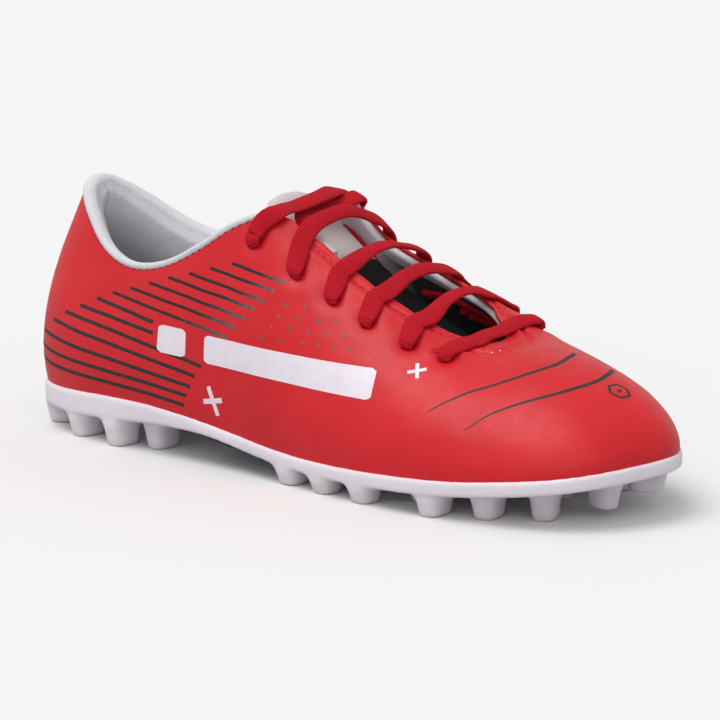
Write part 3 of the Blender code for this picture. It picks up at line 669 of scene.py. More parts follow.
def bar_keys(row):
    """Keys of the straight bar between the two eyelets of a row, outer side first."""
    start = np.array(rim_key(OUTER_EYELETS[row] + BAR_LEAN[row]))
    end = np.array(rim_key(INNER_EYELETS[row] - BAR_LEAN[row]))
    keys = eyelet_keys(OUTER_EYELETS, row) + [list(start)]
    for share in (0.3, 0.5, 0.7):
        middle = start + (end - start) * share
        middle[2] += BAR_RISE[row] * math.sin(math.pi * share)
        middle[5] += math.sin(math.radians(BAR_TWIST[row]))
        middle[6] = BAR_WIDTH
        keys.append(list(middle))
    return keys + [list(end)] + eyelet_keys(INNER_EYELETS, row)[::-1]


def toe_bar_keys():
    """The last bar, which leans forward over the skin and lies across the front end of the opening."""
    forward = (0.92, 0.0, -0.38)

    def on_skin(*places):
        points = [skin(t, from_edge(t, from_rim), -ON_SKIN)[0] for t, from_rim in places]
        return [free_key(*point, forward, 6.6) for point in points]

    keys = eyelet_keys(OUTER_EYELETS, 5)[:5] + on_skin((12.4, 12.4), (12.7, 8.0), (13.05, 4.2))
    keys += [free_key(197.6, 0.5, 54.9, forward, BAR_WIDTH), free_key(197.8, 9.5, 55.2, forward, BAR_WIDTH)]
    keys += on_skin((18.75, 4.2), (19.1, 8.0), (19.4, 12.4))
    return keys + eyelet_keys(INNER_EYELETS, 5)[4::-1]


def run_keys(eyelets, start, end):
    """Keys of a run inside the upper, from row to row, passing any row between at a distance."""
    t_start, t_end = eyelets[start], eyelets[end]
    keys = []
    for share in (0.2, 0.5, 0.8):
        place = t_start + (t_end - t_start) * share
        from_rim = EYELET_FROM_RIM[start] + (EYELET_FROM_RIM[end] - EYELET_FROM_RIM[start]) * share
        if abs(end - start) == 2:
            from_rim += RUN_SHIFT * math.sin(math.pi * share) * (-1 if end > start else 1)
        keys.append(skin_key(place, from_rim, RUN_HEIGHT, False, 3.6, 1.9))
    return keys


def threaded_keys():
    """The whole held part of the lace, from the top outer eyelet to the top inner eyelet."""
    keys = [covered_key(OUTER_EYELETS)] + eyelet_keys(OUTER_EYELETS, 0)[-3::-1]
    keys += run_keys(OUTER_EYELETS, 0, 2) + bar_keys(2)
    keys += run_keys(INNER_EYELETS, 2, 4) + bar_keys(4)[::-1]
    keys += run_keys(OUTER_EYELETS, 4, 5) + toe_bar_keys()
    keys += run_keys(INNER_EYELETS, 5, 3) + bar_keys(3)[::-1]
    keys += run_keys(OUTER_EYELETS, 3, 1) + bar_keys(1)
    keys += run_keys(INNER_EYELETS, 1, 0) + eyelet_keys(INNER_EYELETS, 0)[:-2] + [covered_key(INNER_EYELETS)]
    return keys


def covered_key(eyelets):
    """End of the held part, just inside the free end that carries on from it."""
    return skin_key(eyelets[0], EYELET_FROM_RIM[0] - 2.6, ON_SKIN, True, 5.8, 1.4)


def free_key(x, y, z, direction, width=LACE_WIDTH):
    return [x, y, z, *direction, width, LACE_THICKNESS]


def inner_tail_keys():
    """Free end that leaves the top outer eyelet, crosses over and hangs down the inner side."""
    t, from_rim = OUTER_EYELETS[0], EYELET_FROM_RIM[0]
    keys = [skin_key(t + 0.03, from_rim - 1.9, ON_SKIN + 0.2, True, 6.6),
            skin_key(t + 0.16, from_rim - 5.6, ON_SKIN + 0.4, True), rim_key(t + 0.5, 2.0)]
    for place in ((121.5, -9, 94.9), (122.5, 3, 96.6), (120, 14, 96.8)):
        keys.append(free_key(*place, (0.95, 0.0, -0.3)))
    keys.append(rim_key(24.68, 2.6))
    for t, from_rim in ((25.0, 9), (25.2, 19), (25.45, 29), (25.8, 38), (26.3, 44), (26.8, 47)):
        keys.append(skin_key(t, from_rim, OVER_FILM, True))
    return keys


def outer_tail_keys():
    """Free end that leaves the top inner eyelet and slips under the second bar."""
    keys = [skin_key(INNER_EYELETS[0] - 0.02, EYELET_FROM_RIM[0] - 1.9, ON_SKIN + 0.2, True, 6.6)]
    keys += [skin_key(24.15, 3.6, OVER_FILM + 0.5, True), rim_key(24.0, 2.6)]
    sideways = (0.35, 0.85, 0.3)
    return keys + [free_key(123.5, 14, 92.8, (0.9, 0.1, -0.4)), free_key(122, 3, 92.6, (0.8, -0.3, -0.4)),
                   free_key(123, -7, 91.2, (0.6, 0.6, -0.2)), free_key(127.3, -11.6, 88.8, sideways, 6.0),
                   free_key(131, -12.8, 86.4, sideways, 3.0)]


def smooth_keys(keys, step):
    """Keys resampled along a smooth curve whose speed follows the distance between keys."""
    keys = np.array(keys)
    run = distance_along(keys[:, :3])
    slopes = np.gradient(keys, run, axis=0)
    wanted = [run[0]]
    for start, end in zip(run[:-1], run[1:]):
        wanted += list(np.linspace(start, end, max(1, round((end - start) / step)) + 1)[1:])
    wanted = np.array(wanted)
    k = np.clip(np.searchsorted(run, wanted) - 1, 0, len(run) - 2)
    width = (run[k + 1] - run[k])[:, None]
    return bend_between(k, (wanted - run[k])[:, None] / width, width, keys, slopes)


def make_ribbon(name, keys, look):
    """Woven ribbon with rounded edges and a crowned face; returns it with its middle line."""
    row = smooth_keys(keys, LACE_STEP)
    centre = row[:, :3]
    along = unit(np.gradient(centre, axis=0))
    across = unit(row[:, 3:6] - along * np.sum(row[:, 3:6] * along, axis=1, keepdims=True))
    face = np.cross(along, across)
    run = distance_along(centre)
    turn = full_turn(20)
    side, lift = squared(np.cos(turn), 0.75), squared(np.sin(turn), 0.9)
    edge = 1 + 0.018 * np.sin(run * 2 * math.pi / 1.3)
    width = (row[:, 6] * edge)[:, None, None]
    thickness = row[:, 7][:, None, None]
    sections = (centre[:, None, :] + across[:, None, :] * width * side[None, :, None] / 2
                + face[:, None, :] * thickness * lift[None, :, None] / 2)
    uv = np.stack(np.broadcast_arrays(run[:, None], width[:, :, 0] * side[None, :] / 2), -1).reshape(-1, 2)
    return add_tube(name, sections, False, look, "boot", "lace_red", uv), centre


AGLET_LENGTH = 14.0
AGLET_GAP = 0.7
AGLET_RADIUS = 1.7
OUTER_AGLET_TIP = np.array((141.5, -13.2, 79.5))


def make_aglet(name, start, end, look):
    """Crimped plastic sleeve with a rounded tip."""
    axis = unit(end - start)
    side = unit(np.cross(axis, (0.3, 1, 0.2)))
    other = np.cross(axis, side)
    turn = full_turn(20)[:, None]
    circle = np.cos(turn) * side + np.sin(turn) * other
    sections = []
    for share in np.concatenate([[0, .01, .03], np.linspace(.06, .92, 18), [.95, .975, .99, 1]]):
        size = min(1.0, math.sqrt(max(0.0, 1 - ((share - .93) / .075) ** 2)) if share > .93 else 1.0)
        size = max(0.3, size) * (0.86 if share == 0 else 1.0) * (1 - 0.035 * (math.sin(share * 34) > 0.6))
        sections.append(start + (end - start) * share + AGLET_RADIUS * size * circle)
    return add_tube(name, np.array(sections), False, look, "boot", "aglet_white")


def make_lace():
    look = woven_look("lace_woven_red", (0.68, 0.010, 0.026), (0.27, 0.003, 0.008))
    tip_look = aglet_look()
    threaded, _ = make_ribbon("lace_held_woven", threaded_keys(), look)
    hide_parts("lace_threaded")
    for side, keys in (("inner", inner_tail_keys()), ("outer", outer_tail_keys())):
        ribbon, centre = make_ribbon("lace_tail_" + side, keys, look)
        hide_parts("lace_end_" + side)
        last, before = np.array(keys[-1][:3]), np.array(keys[-2][:3])
        direction = unit(last - before)
        start = last + direction * AGLET_GAP
        end = start + direction * AGLET_LENGTH if side == "inner" else OUTER_AGLET_TIP
        tip = make_aglet("lace_tip_" + side, start, end, tip_look)
        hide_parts("aglet_" + side)


# ---------------- relief and seams of the upper

THROAT_SEAM = [(12.0, .80), (12.66, .86), (13.6, .86), (14.94, .895), (16.6, .91), (18.12, .92), (19.2, .93)]
EYESTAY_STITCH_DISTANCE = 3.3


def roll_weight(t):
    """1 where the collar lining rolls over the opening's edge, 0 along the lacing."""
    return 1 - smooth_step(7.9, 8.5, from_heel(t))


def roll_height(t):
    """How far down the pale collar roll covers the outer face: most at the heel."""
    return (1.7 + 1.8 * np.exp(-(from_heel(t) / 2.4) ** 2)) * roll_weight(t)


def seam_line(points, count=160):
    """Places (t, s) evenly spread along a smooth line through a few (t, s) points."""
    points = np.array(points, float)
    t = np.linspace(points[0, 0], points[-1, 0], count)
    return t, open_curve(points, t)


def eyestay_line(start, end, distance, count=160):
    t = np.linspace(start, end, count)
    return t, below_rim(t, np.array([[distance]]))[:, 0]


def nearest_on_line(points, line):
    """Distance of each point from a line of 3-D points, and how far along the line the nearest one is."""
    run = distance_along(line)
    flat = points.reshape(-1, 3)
    best = np.full(len(flat), 1e9)
    place = np.zeros(len(flat))
    for k, knot in enumerate(line):
        distance = np.linalg.norm(flat - knot, axis=1)
        closer = distance < best
        best[closer] = distance[closer]
        place[closer] = run[k]
    return best.reshape(points.shape[:-1]), place.reshape(points.shape[:-1])


SEAMS = [seam_line(THROAT_SEAM), eyestay_line(8.95, 12.4, EYESTAY_STITCH_DISTANCE),
         eyestay_line(19.5, 23.0, EYESTAY_STITCH_DISTANCE)]
SEAM_POINTS = [skin_point(t, s) for t, s in SEAMS]
EYELET_POINTS = [skin_point(t, from_edge(t, from_rim)) for t, from_rim in EYELETS]


def waves(points, wavelength, seed):
    """Smooth unevenness from -1 to 1 with about one wavelength in millimetres."""
    source = np.random.default_rng(seed)
    total = np.zeros(points.shape[:-1])
    for _ in range(7):
        direction = unit(source.normal(size=3)) * 2 * math.pi / (wavelength * source.uniform(0.7, 1.4))
        total += np.sin(points @ direction + source.uniform(0, 2 * math.pi))
    return total / 4


def relief(points):
    """Height of the upper's outer face over the plain shape: dimples, seams and slight unevenness."""
    height = 0.16 * waves(points, 34, 3) + 0.05 * waves(points, 11, 5)
    for eyelet in EYELET_POINTS:
        distance = np.linalg.norm(points - eyelet, axis=-1)
        height += -0.75 * np.exp(-(distance / 3.6) ** 2) + 0.22 * np.exp(-((distance - 7) / 3) ** 2)
    for index, line in enumerate(SEAM_POINTS):
        distance, along = nearest_on_line(points, line)
        pucker = 0.5 + 0.5 * np.cos(along * 2 * math.pi / 3.1)
        depth, band = (0.8, 0.62) if index == 0 else (0.4, 0.34)
        height -= depth * (0.7 + 0.5 * pucker) * np.exp(-(distance / 0.8) ** 2)
        height += band * (0.6 + 0.6 * pucker) * np.exp(-((distance - 2.1) / 1.3) ** 2)
    return height


def surface(t, s, height=0.0):
    """Point at a height over the finished outer face, and the normal of the plain shape."""
    point, normal = skin(t, s)
    return point + normal * (relief(point) + height)[..., None], normal


def make_upper(look):
    """Outer skin with a rounded top edge, a thickness, and punched eyelets."""
    t = np.arange(0, LOOP, 1 / 14)
    fine = np.concatenate([np.linspace(0, 0.8, 46), 0.8 + 0.2 * np.linspace(0, 1, 26)[1:]])
    edge_drop = roll_height(t)
    for eyelets in (OUTER_EYELETS, INNER_EYELETS):
        for place in eyelets[1:]:
            edge_drop = edge_drop + 0.8 * np.exp(-((t - place) / 0.2) ** 2)
    top = below_rim(t, edge_drop[:, None])[:, 0]
    s = fine[None, :] * top[:, None]
    outside, normal = surface(t[:, None], s)
    inside, _ = skin(t[:, None], s[:, ::3], SHELL_THICKNESS)
    upward = unit(outside[:, -1] - outside[:, -3])
    half = SHELL_THICKNESS / 2
    middle = outside[:, -1] - normal[:, -1] * half
    roll = [middle + normal[:, -1] * math.cos(a) * half + upward * math.sin(a) * half
            for a in np.radians((30, 60, 90, 120, 150))]
    below = outside[:, :1] - np.array([0, 0, 2.0])
    below_inside = inside[:, :1] - np.array([0, 0, 2.0])
    sections = np.concatenate([below, outside, np.stack(roll, 1), inside[:, ::-1], below_inside], axis=1)
    upper = add_tube("upper_satin", sections, True, look, "boot", "upper_red")
    punch_eyelets(upper, look)
    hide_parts("upper_shell")


HOLE_RADIUS = 2.3
HOLE_SIDES = 28


def punch_eyelets(piece, look):
    """Cut the twelve holes through a piece."""
    points, faces = [], []
    for t, from_rim in EYELETS:
        middle, normal = skin(t, from_edge(t, from_rim), SHELL_THICKNESS / 2)
        side = unit(np.cross(normal, (1.0, 0.0, 0.0)))
        other = np.cross(normal, side)
        faces += tube_faces(2, HOLE_SIDES, False, len(points))
        for height in (-4.0, 4.0):
            points += [middle + normal * height + HOLE_RADIUS * (math.cos(a) * side + math.sin(a) * other)
                       for a in full_turn(HOLE_SIDES)]
    mesh = closed_mesh("punch", points, faces)
    mesh.materials.append(look)
    cutter = bpy.data.objects.new("punch", mesh)
    bpy.context.collection.objects.link(cutter)
    change = piece.modifiers.new("punch", "BOOLEAN")
    change.object = cutter
    change.operation = "DIFFERENCE"
    change.solver = "EXACT"
    apply_modifiers(piece)
    bpy.data.objects.remove(cutter)


def make_lining(look):
    """Padded collar lining: it starts outside under the red edge, rolls over and runs down inside."""
    t = np.arange(0, LOOP, 1 / 10)
    weight = roll_weight(t)[:, None]
    collar = (1 - smooth_step(5.6, 7.6, from_heel(t)))[:, None]
    rolled_below = np.array([3.7, 3.0, 2.2, 1.5, 0.9, 0.55, 0.4, 0.45, 0.8, 1.5, 2.5])[None, :]
    outer_side = np.array([1, 1, 1, 1, 1, 0.7, 0.3, 0, 0, 0, 0])[None, :]
    shrink = (roll_height(t) / np.maximum(roll_weight(t), 0.01) / 3.2)[:, None]
    rolled_below = rolled_below * (1 + (shrink - 1) * outer_side)
    rolled_depth = np.array([0.9, 0.1, -0.35, -0.3, 0.1, 0.8, 1.7, 2.6, 3.3, 3.9, 4.4])[None, :]
    plain_below = np.array([3.7, 3.0, 2.2, 1.5, 0.9, 0.6, 0.5, 0.55, 0.8, 1.4, 2.4])[None, :]
    plain_depth = np.array([2.9, 2.75, 2.6, 2.5, 2.5, 2.6, 2.85, 3.15, 3.4, 3.5, LINING_INNER])[None, :]
    dense_to = 30
    upper_rows = np.linspace(3.6, dense_to, 24)[None, :]
    lower_share = np.linspace(0, 1, 22)[None, 1:]
    foot = (wall_length(t) - 0.8)[:, None]
    lower_rows = dense_to + (foot - dense_to) * lower_share
    wall_below = np.concatenate([np.repeat(upper_rows, len(t), 0), lower_rows], axis=1)
    below = np.concatenate([plain_below + (rolled_below - plain_below) * weight, wall_below], axis=1)
    bulge = 4.7 * np.sin(np.pi * np.clip(wall_below / 33, 0, 1) ** 0.75) ** 0.8
    crease = 1 - 0.55 * np.exp(-((from_heel(t)[:, None]) / 0.16) ** 2)
    wall_depth = LINING_INNER + (0.8 * np.exp(-wall_below / 4) * weight + bulge * collar) * crease
    depth = np.concatenate([plain_depth + (rolled_depth - plain_depth) * weight, wall_depth], axis=1)
    s = below_rim(t, below)
    face, normal = skin(t[:, None], s, depth)
    face = face + normal * (0.12 * waves(face, 9, 8) * collar)[..., None]
    around = np.roll(face, -1, axis=0) - np.roll(face, 1, axis=0)
    down = np.gradient(face, axis=1)
    into = unit(np.cross(down, around))
    back = face - into * LINING_THICKNESS
    sections = np.concatenate([face, back[:, ::-1]], axis=1)
    place = np.stack([np.repeat(from_heel(t)[:, None], below.shape[1], 1), below], -1)
    uv = np.concatenate([place, place[:, ::-1]], axis=1).reshape(-1, 2)
    lining = add_tube("collar_lining_padded", sections, True, look, "boot", "lining_textile", uv)
    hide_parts("quarter_lining")


# ---------------- prints, films and stitches on the upper

PRINT_HEIGHT = 0.05                         # over the upper's outer face
PRINT_ROOT = -0.15                          # under it, so that no gap shows


class Strips:
    """Thin closed strips that follow the upper's outer face and make up one print."""

    def __init__(self):
        self.points, self.faces, self.uv = [], [], []

    def line(self, t, s, width, step=1.2):
        """Strip along (t, s) keys; a few widths in a row make it change its width on the way."""
        keys = np.linspace(0, 1, len(t))
        even = np.linspace(0, 1, 60)
        length = distance_along(skin_point(np.interp(even, keys, t), np.interp(even, keys, s)))[-1]
        share = np.linspace(0, 1, max(3, int(length / step)))
        place = [open_curve(np.column_stack([keys, values]), share) for values in (t, s)]
        wide = np.interp(share, np.linspace(0, 1, np.size(width)), np.atleast_1d(width)) / 2
        top, normal = surface(*place, PRINT_HEIGHT)
        low, _ = surface(*place, PRINT_ROOT)
        side = unit(np.cross(normal, np.gradient(top, axis=0))) * wide[:, None]
        self.faces += tube_faces(len(share), 4, False, len(self.points))
        for k in range(len(share)):
            self.points += [top[k] - side[k], top[k] + side[k], low[k] + side[k], low[k] - side[k]]
            self.uv += [(share[k], 0.0), (share[k], 1.0), (share[k], 1.0), (share[k], 0.0)]

    def short_line(self, place, start, end, shares, width, step):
        """Strip near a (t, s) place; start and end are (along, up) millimetres from it."""
        keys = [local_offset(*place, *(start + (end - start) * share)) for share in shares]
        self.line(*zip(*keys), width, step)

    def crossing(self, place, arms, width):
        """Strips that cross at a (t, s) place; each arm is the (along, up) of its far end."""
        for arm in arms:
            self.short_line(place, np.zeros(2), np.array(arm), (-1, -0.5, 0, 0.5, 1), width, 0.6)

    def add(self, name, look, slot, keep_uv=False):
        uv = self.uv if keep_uv else None
        add_piece(name, self.points, self.faces, look, "boot", slot, uv, crisp=True)


def local_offset(t, s, along, up):
    """The (t, s) a few millimetres from a place: along runs forward over the skin, and up runs upward."""
    around = (skin_point(t + 0.01, s) - skin_point(t - 0.01, s)) / 0.02
    upward = (skin_point(t, s + 0.01) - skin_point(t, s - 0.01)) / 0.02
    normal = unit(np.cross(around, upward))
    rise = unit(np.array([0, 0, 1.0]) - normal * normal[2])
    forward = np.cross(rise, normal)
    if forward @ around < 0:
        forward = -forward
    goal = forward * along + rise * up
    move, *_ = np.linalg.lstsq(np.stack([around, upward], 1), goal, rcond=None)
    return t + move[0], s + move[1]


SLANTED_LINES = [
    ((6.98, .81), (8.52, .76)), ((6.36, .835), (8.3, .705)), ((5.78, .855), (8.08, .65)),
    ((5.22, .87), (7.8, .61)), ((4.68, .855), (7.54, .565)), ((4.18, .815), (7.24, .525)),
    ((3.72, .76), (6.96, .48)), ((3.34, .695), (5.0, .58)), ((2.92, .61), (5.02, .51)),
    ((2.52, .52), (6.22, .335)), ((2.16, .43), (6.04, .275)), ((1.64, .32), (5.92, .21)),
    ((1.36, .23), (5.82, .15)), ((1.42, .16), (5.74, .085)),
]
UPPER_LINES = 7                             # the ones that fade towards the front
DOT_ROWS = [(64, (135, 143)), (60, (133, 141, 149, 156)), (56, (131, 139, 147, 154, 160)),
            (52, (127, 136, 145, 152, 158, 165))]
TOE_CURVES = [
    [(12.08, .435), (12.42, .51), (12.94, .585), (13.9, .645), (15.08, .68), (15.48, .70), (15.86, .72),
     (16.5, .733)],
    [(12.72, .35), (13.1, .43), (13.52, .475), (14.1, .505), (14.74, .52), (15.34, .535), (15.72, .55),
     (16.02, .565), (16.6, .577)],
]
TOE_CURVE_WIDTHS = (0.35, 0.7, 1.0, 1.25, 1.5, 1.6, 1.7, 1.7)
TOE_EMBLEM = (15.78, .465)
EMBLEM_RADIUS = 4.0
PRINT_DIRECTION = unit(np.array([0.578, -0.787, 0.214]))   # the slanted lines look straight along this


def straight_line(start, end, straightness, count=13):
    """Places (t, s) between two places; straightness blends an even run to one in a plane through both."""
    t = np.linspace(start[0], end[0], count)
    even = np.linspace(start[1], end[1], count)
    first, last = skin_point(*start), skin_point(*end)
    across = unit(np.cross(last - first, PRINT_DIRECTION))
    samples = np.linspace(0.03, 0.97, 189)
    off = (skin_point(t[:, None], samples[None, :]) - first) @ across
    near = np.abs(off) + 4.0 * np.abs(samples[None, :] - even[:, None])
    in_plane = samples[np.argmin(near, axis=1)]
    rough = even + (in_plane - even) * straightness
    bend = np.polynomial.polynomial.polyfit(t - t[0], rough, 4)
    return t, np.polynomial.polynomial.polyval(t - t[0], bend)


def find_on_side(x, z):
    """The (t, s) on the outer side at a given x and height."""
    t = np.linspace(5, 14, 181)
    s = np.linspace(0.2, 0.98, 157)
    grid = skin_point(t[:, None], s[None, :])
    miss = (grid[..., 0] - x) ** 2 + (grid[..., 2] - z) ** 2
    i, j = np.unravel_index(np.argmin(miss), miss.shape)
    return t[i], s[j]


def make_prints():
    dark = print_look("print_dark", (0.012, 0.011, 0.012), (0.035, 0.03, 0.03), 0.5, 900.0)
    grey = print_look("print_grey", (0.10, 0.09, 0.095), (0.2, 0.16, 0.15), 0.5, 900.0)
    white = print_look("print_white", (0.87, 0.81, 0.88), (0.78, 0.72, 0.80), 0.42, 700.0)
    fading = fading_print_look()

    upper_lines, lower_lines = Strips(), Strips()
    for index, (start, end) in enumerate(SLANTED_LINES):
        straightness = min(1.0, max(0.0, (13 - index) / 4))
        lines, width = (upper_lines, 1.15) if index < UPPER_LINES else (lower_lines, 1.4)
        lines.line(*straight_line(start, end, straightness), width)
    upper_lines.add("print_upper_lines", fading, "tongue_mesh", keep_uv=True)
    lower_lines.add("print_lower_lines", dark, "tongue_mesh", keep_uv=True)

    dots = Strips()
    for height, places in DOT_ROWS:
        for x in places:
            dots.crossing(find_on_side(x, height), [(0.55, 0.12)], 1.0)
    dots.add("print_dots", grey, "tongue_mesh")

    toe_curves = Strips()
    for curve in TOE_CURVES:
        toe_curves.line(*zip(*curve), TOE_CURVE_WIDTHS, 1.0)
    toe_curves.add("print_toe_curves", dark, "tongue_mesh", keep_uv=True)

    emblem = Strips()
    turn = np.radians(np.arange(0, 361, 60))
    corners = EMBLEM_RADIUS * np.column_stack([np.cos(turn), np.sin(turn)])
    for corner, next_corner in zip(corners, corners[1:]):
        emblem.short_line(TOE_EMBLEM, corner, next_corner, (-0.08, 0.5, 1.08), 1.0, 0.7)
    emblem.crossing(TOE_EMBLEM, [(0.8, 0.0)], 1.6)
    emblem.add("print_toe_hexagon", dark, "tongue_mesh")

    crosses = Strips()
    crosses.crossing((6.54, .16), [(-2.0, 5.2), (4.6, 0.9)], 1.9)
    crosses.crossing((11.74, .655), [(-0.7, 3.3), (3.3, 0.9)], 1.35)
    crosses.add("print_plus_marks", white, "film_white")


LONG_BAR = [(6.3, 39.0), (6.3, 49.0), (11.0, 37.0), (11.0, 47.0)]
SQUARE = [(5.15, 40.0), (5.15, 50.0), (5.8, 39.5), (5.8, 49.5)]
FILM_HEIGHT = 0.13                          # over the upper's outer face
FILM_TALL = 10.0
STATION_LENGTH = 14.95                      # usual distance between stations on the side


def at_height(t, height):
    """The s at which the wall reaches a height, for matching arrays of t and height."""
    samples = np.linspace(0, 1, 161)
    found = [np.interp(z, skin_point(np.full(samples.shape, place), samples)[:, 2], samples)
             for place, z in zip(np.ravel(t), np.ravel(height))]
    return np.reshape(found, np.shape(t))


def make_film(name, node, look, corners, columns):
    """Film with rounded corners between four (t, height) corners: two at its start, two at its end."""
    start_low, start_high, end_low, end_high = (np.array(corner, float) for corner in corners)
    rows = 13
    across = np.linspace(0, 1, rows)[:, None]
    along = np.linspace(0, 1, columns)[None, :]
    radius = 0.14                           # share of the film's height
    into_corner = np.clip((radius - np.minimum(across, 1 - across)) / radius, 0, 1)
    length = STATION_LENGTH * abs(end_low[0] - start_low[0])
    inset = radius * (1 - np.sqrt(1 - into_corner ** 2)) * FILM_TALL / length
    along = inset + (1 - 2 * inset) * along
    place = [(start_low[k] + (end_low[k] - start_low[k]) * along) * (1 - across)
             + (start_high[k] + (end_high[k] - start_high[k]) * along) * across for k in (0, 1)]
    s = at_height(*place)
    outside, _ = surface(place[0], s, FILM_HEIGHT)
    inside, _ = surface(place[0], s, PRINT_ROOT)
    points = np.concatenate([inside.reshape(-1, 3), outside.reshape(-1, 3)])
    piece = add_piece(name, points, slab_faces(rows, columns), look, "boot", "film_white", crisp=True)
    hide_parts(node)


def make_films():
    look = print_look("film_lilac_white", (0.87, 0.80, 0.88), (0.81, 0.74, 0.83), 0.4, 260.0)
    for side in ("outer", "inner"):
        for shape, corners, columns in (("bar", LONG_BAR, 110), ("square", SQUARE, 18)):
            places = corners if side == "outer" else [(LOOP - t, height) for t, height in corners]
            make_film(f"film_{shape}_{side}", f"side_{shape}_{side}", look, places, columns)


STITCH_SIDES = 8


def make_stitches(name, t, s, look, slot, pitch, length, radius, height):
    """A row of separate thread stitches along a line on the upper."""
    line, normal = surface(np.asarray(t), np.asarray(s), height)
    run = distance_along(line)
    shares = (-1, -.85, -.5, 0, .5, .85, 1)
    points, faces = [], []
    for middle in np.arange(pitch, run[-1] - pitch, pitch):
        faces += tube_faces(len(shares), STITCH_SIDES, False, len(points))
        for share in shares:
            place = middle + share * length / 2
            centre = np.array([np.interp(place, run, line[:, k]) for k in range(3)])
            up = unit(np.array([np.interp(place, run, normal[:, k]) for k in range(3)]))
            ahead = np.array([np.interp(place + 0.3, run, line[:, k]) for k in range(3)])
            forward = unit(ahead - centre)
            side = np.cross(up, forward)
            centre = centre - up * radius * 1.1 * share ** 2
            size = radius * math.sqrt(max(0.05, 1 - share ** 2 * 0.9))
            points += [centre + size * (math.cos(a) * side + math.sin(a) * up)
                       for a in full_turn(STITCH_SIDES)]
    add_piece(name, points, faces, look, "boot", slot)


def make_all_stitches():
    threads = (("thread_red", (0.27, 0.005, 0.012), (0.15, 0.003, 0.007)),
               ("thread_navy", (0.03, 0.04, 0.14), (0.015, 0.02, 0.07)),
               ("thread_white", (0.8, 0.75, 0.78), (0.6, 0.55, 0.58)))
    red, navy, white = (textile_look(*thread, 2500.0, 0.03) for thread in threads)
    for name, (t, s) in zip(("throat", "eyestay_outer", "eyestay_inner"), SEAMS):
        make_stitches("stitches_" + name, t, s, red, "lace_red", 3.1, 2.3, 0.24, 0.06)
    t = np.linspace(-8.0, 8.0, 700)
    s = below_rim(t, roll_height(t)[:, None] + 0.75)[:, 0]
    make_stitches("stitches_collar", t, s, navy, "insert_navy", 3.4, 1.6, 0.3, 0.0)
    t, s = seam_line([(13.3, .86), (13.9, .862), (14.6, .88)], 40)
    make_stitches("stitches_white", t, s, white, "film_white", 2.9, 1.5, 0.5, 0.2)


# ---------------- tongue

TONGUE_LINE = [(108, 99), (122, 88), (137, 77), (156, 65), (173, 56.5), (187, 50.5), (200, 46), (213, 42.5)]
TONGUE_HALF_WIDTH = [(108, 12), (112, 15), (119, 17.2), (140, 17), (180, 17), (213, 14)]
TONGUE_MIDDLE = 1.5


def tongue_point(x, across, depth):
    """Point at a depth below the tongue's outer face; across runs from -1 to 1."""
    y = TONGUE_MIDDLE + across * open_curve(TONGUE_HALF_WIDTH, x)
    sag = 0.0145 * (y - TONGUE_MIDDLE) ** 2
    z = open_curve(TONGUE_LINE, x) - sag
    slope_x = (open_curve(TONGUE_LINE, x + 1) - open_curve(TONGUE_LINE, x - 1)) / 2
    slope_y = -0.029 * (y - TONGUE_MIDDLE)
    normal = unit(np.stack([-slope_x, -slope_y, np.ones(z.shape)], -1))
    return np.stack([x, y, z], -1) - normal * np.asarray(depth)[..., None]


def tongue_padding(x):
    return open_curve([(108, 2.4), (118, 4.0), (150, 3.2), (165, 1.6), (213, 0.9)], x)


def tongue_shape(name, node, look, slot, start, end, top, bottom, round_start, round_end, widen=1.0):
    """Closed flap between two depths over a range of x, with rounded edges and ends.

    Each depth is a base and a share of the padding under it; a rounding of 0 leaves that end square.
    """
    x = np.linspace(start, end, max(24, int((end - start) / 0.9)))
    turn = full_turn(56)
    side, lift = squared(np.cos(turn), 0.55), squared(np.sin(turn), 0.6)
    size = np.ones(len(x))
    for distance, rounding in ((x - start, round_start), (end - x, round_end)):
        if rounding:
            size = size * np.sqrt(1 - (1 - np.clip(distance / rounding, 0, 1)) ** 2)
    size = np.maximum(size, 0.06)[:, None]
    high, low = ((base + padded * tongue_padding(x))[:, None] for base, padded in (top, bottom))
    depth = (high + low) / 2 - (low - high) / 2 * lift[None, :] * size
    pulled = 1 - (1 - size) * 0.12
    across = side[None, :] * widen * pulled
    sections = tongue_point(np.broadcast_to(x[:, None], across.shape), across, depth)
    piece = add_tube(name, sections, False, look, "tongue", slot)
    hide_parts(node)
    return piece


def make_tongue(textile):
    foam = plain_look("foam_open_cell", *FOAM)
    pad = tongue_shape("tongue_pad", "tongue_face_upper", padded_pale_look(), "tongue_pale", 109.5, 137.6,
                       (0.0, 0), (1.8, 0.25), 3.0, 1.2, 1.03)
    tongue_shape("tongue_mesh_face", "tongue_face_lower", mesh_look(), "tongue_mesh", 137.4, 213,
                 (0, 0), (1.3, 0.1), 1.0, 0, 1.0)
    tongue_shape("tongue_filling", "tongue_foam", foam, "foam", 112, 205,
                 (1.3, 0.05), (1.2, 0.95), 3, 3, 0.93)
    tongue_shape("tongue_backing", "tongue_lining", textile, "lining_textile", 109.9, 213,
                 (0.9, 0.9), (2.3, 1.0), 2.5, 0, 0.985)


# ---------------- sole

STUDS_OUTER_HEEL = [(11, -10), (32, -20), (52, -24.5), (67, -19)]
STUDS_OUTER_FRONT = [(140, -35.5), (157, -39), (176, -42), (206, -40), (223, -32), (239, -22)]
STUDS_TOE = [(252, -8), (258, 8)]
STUDS_INNER_SIDE = [(140, 27), (157, 32), (176, 37), (199, 39), (219, 34), (238, 25)]
STUDS_MIDDLE = [(177, -24), (192, -30), (186, 12), (229, 3)]


def plate_thickness(x):
    return open_curve([(-6, 7.2), (55, 7.6), (80, 5.4), (100, 3.8), (125, 4.0), (150, 4.3), (284, 4.6)], x)


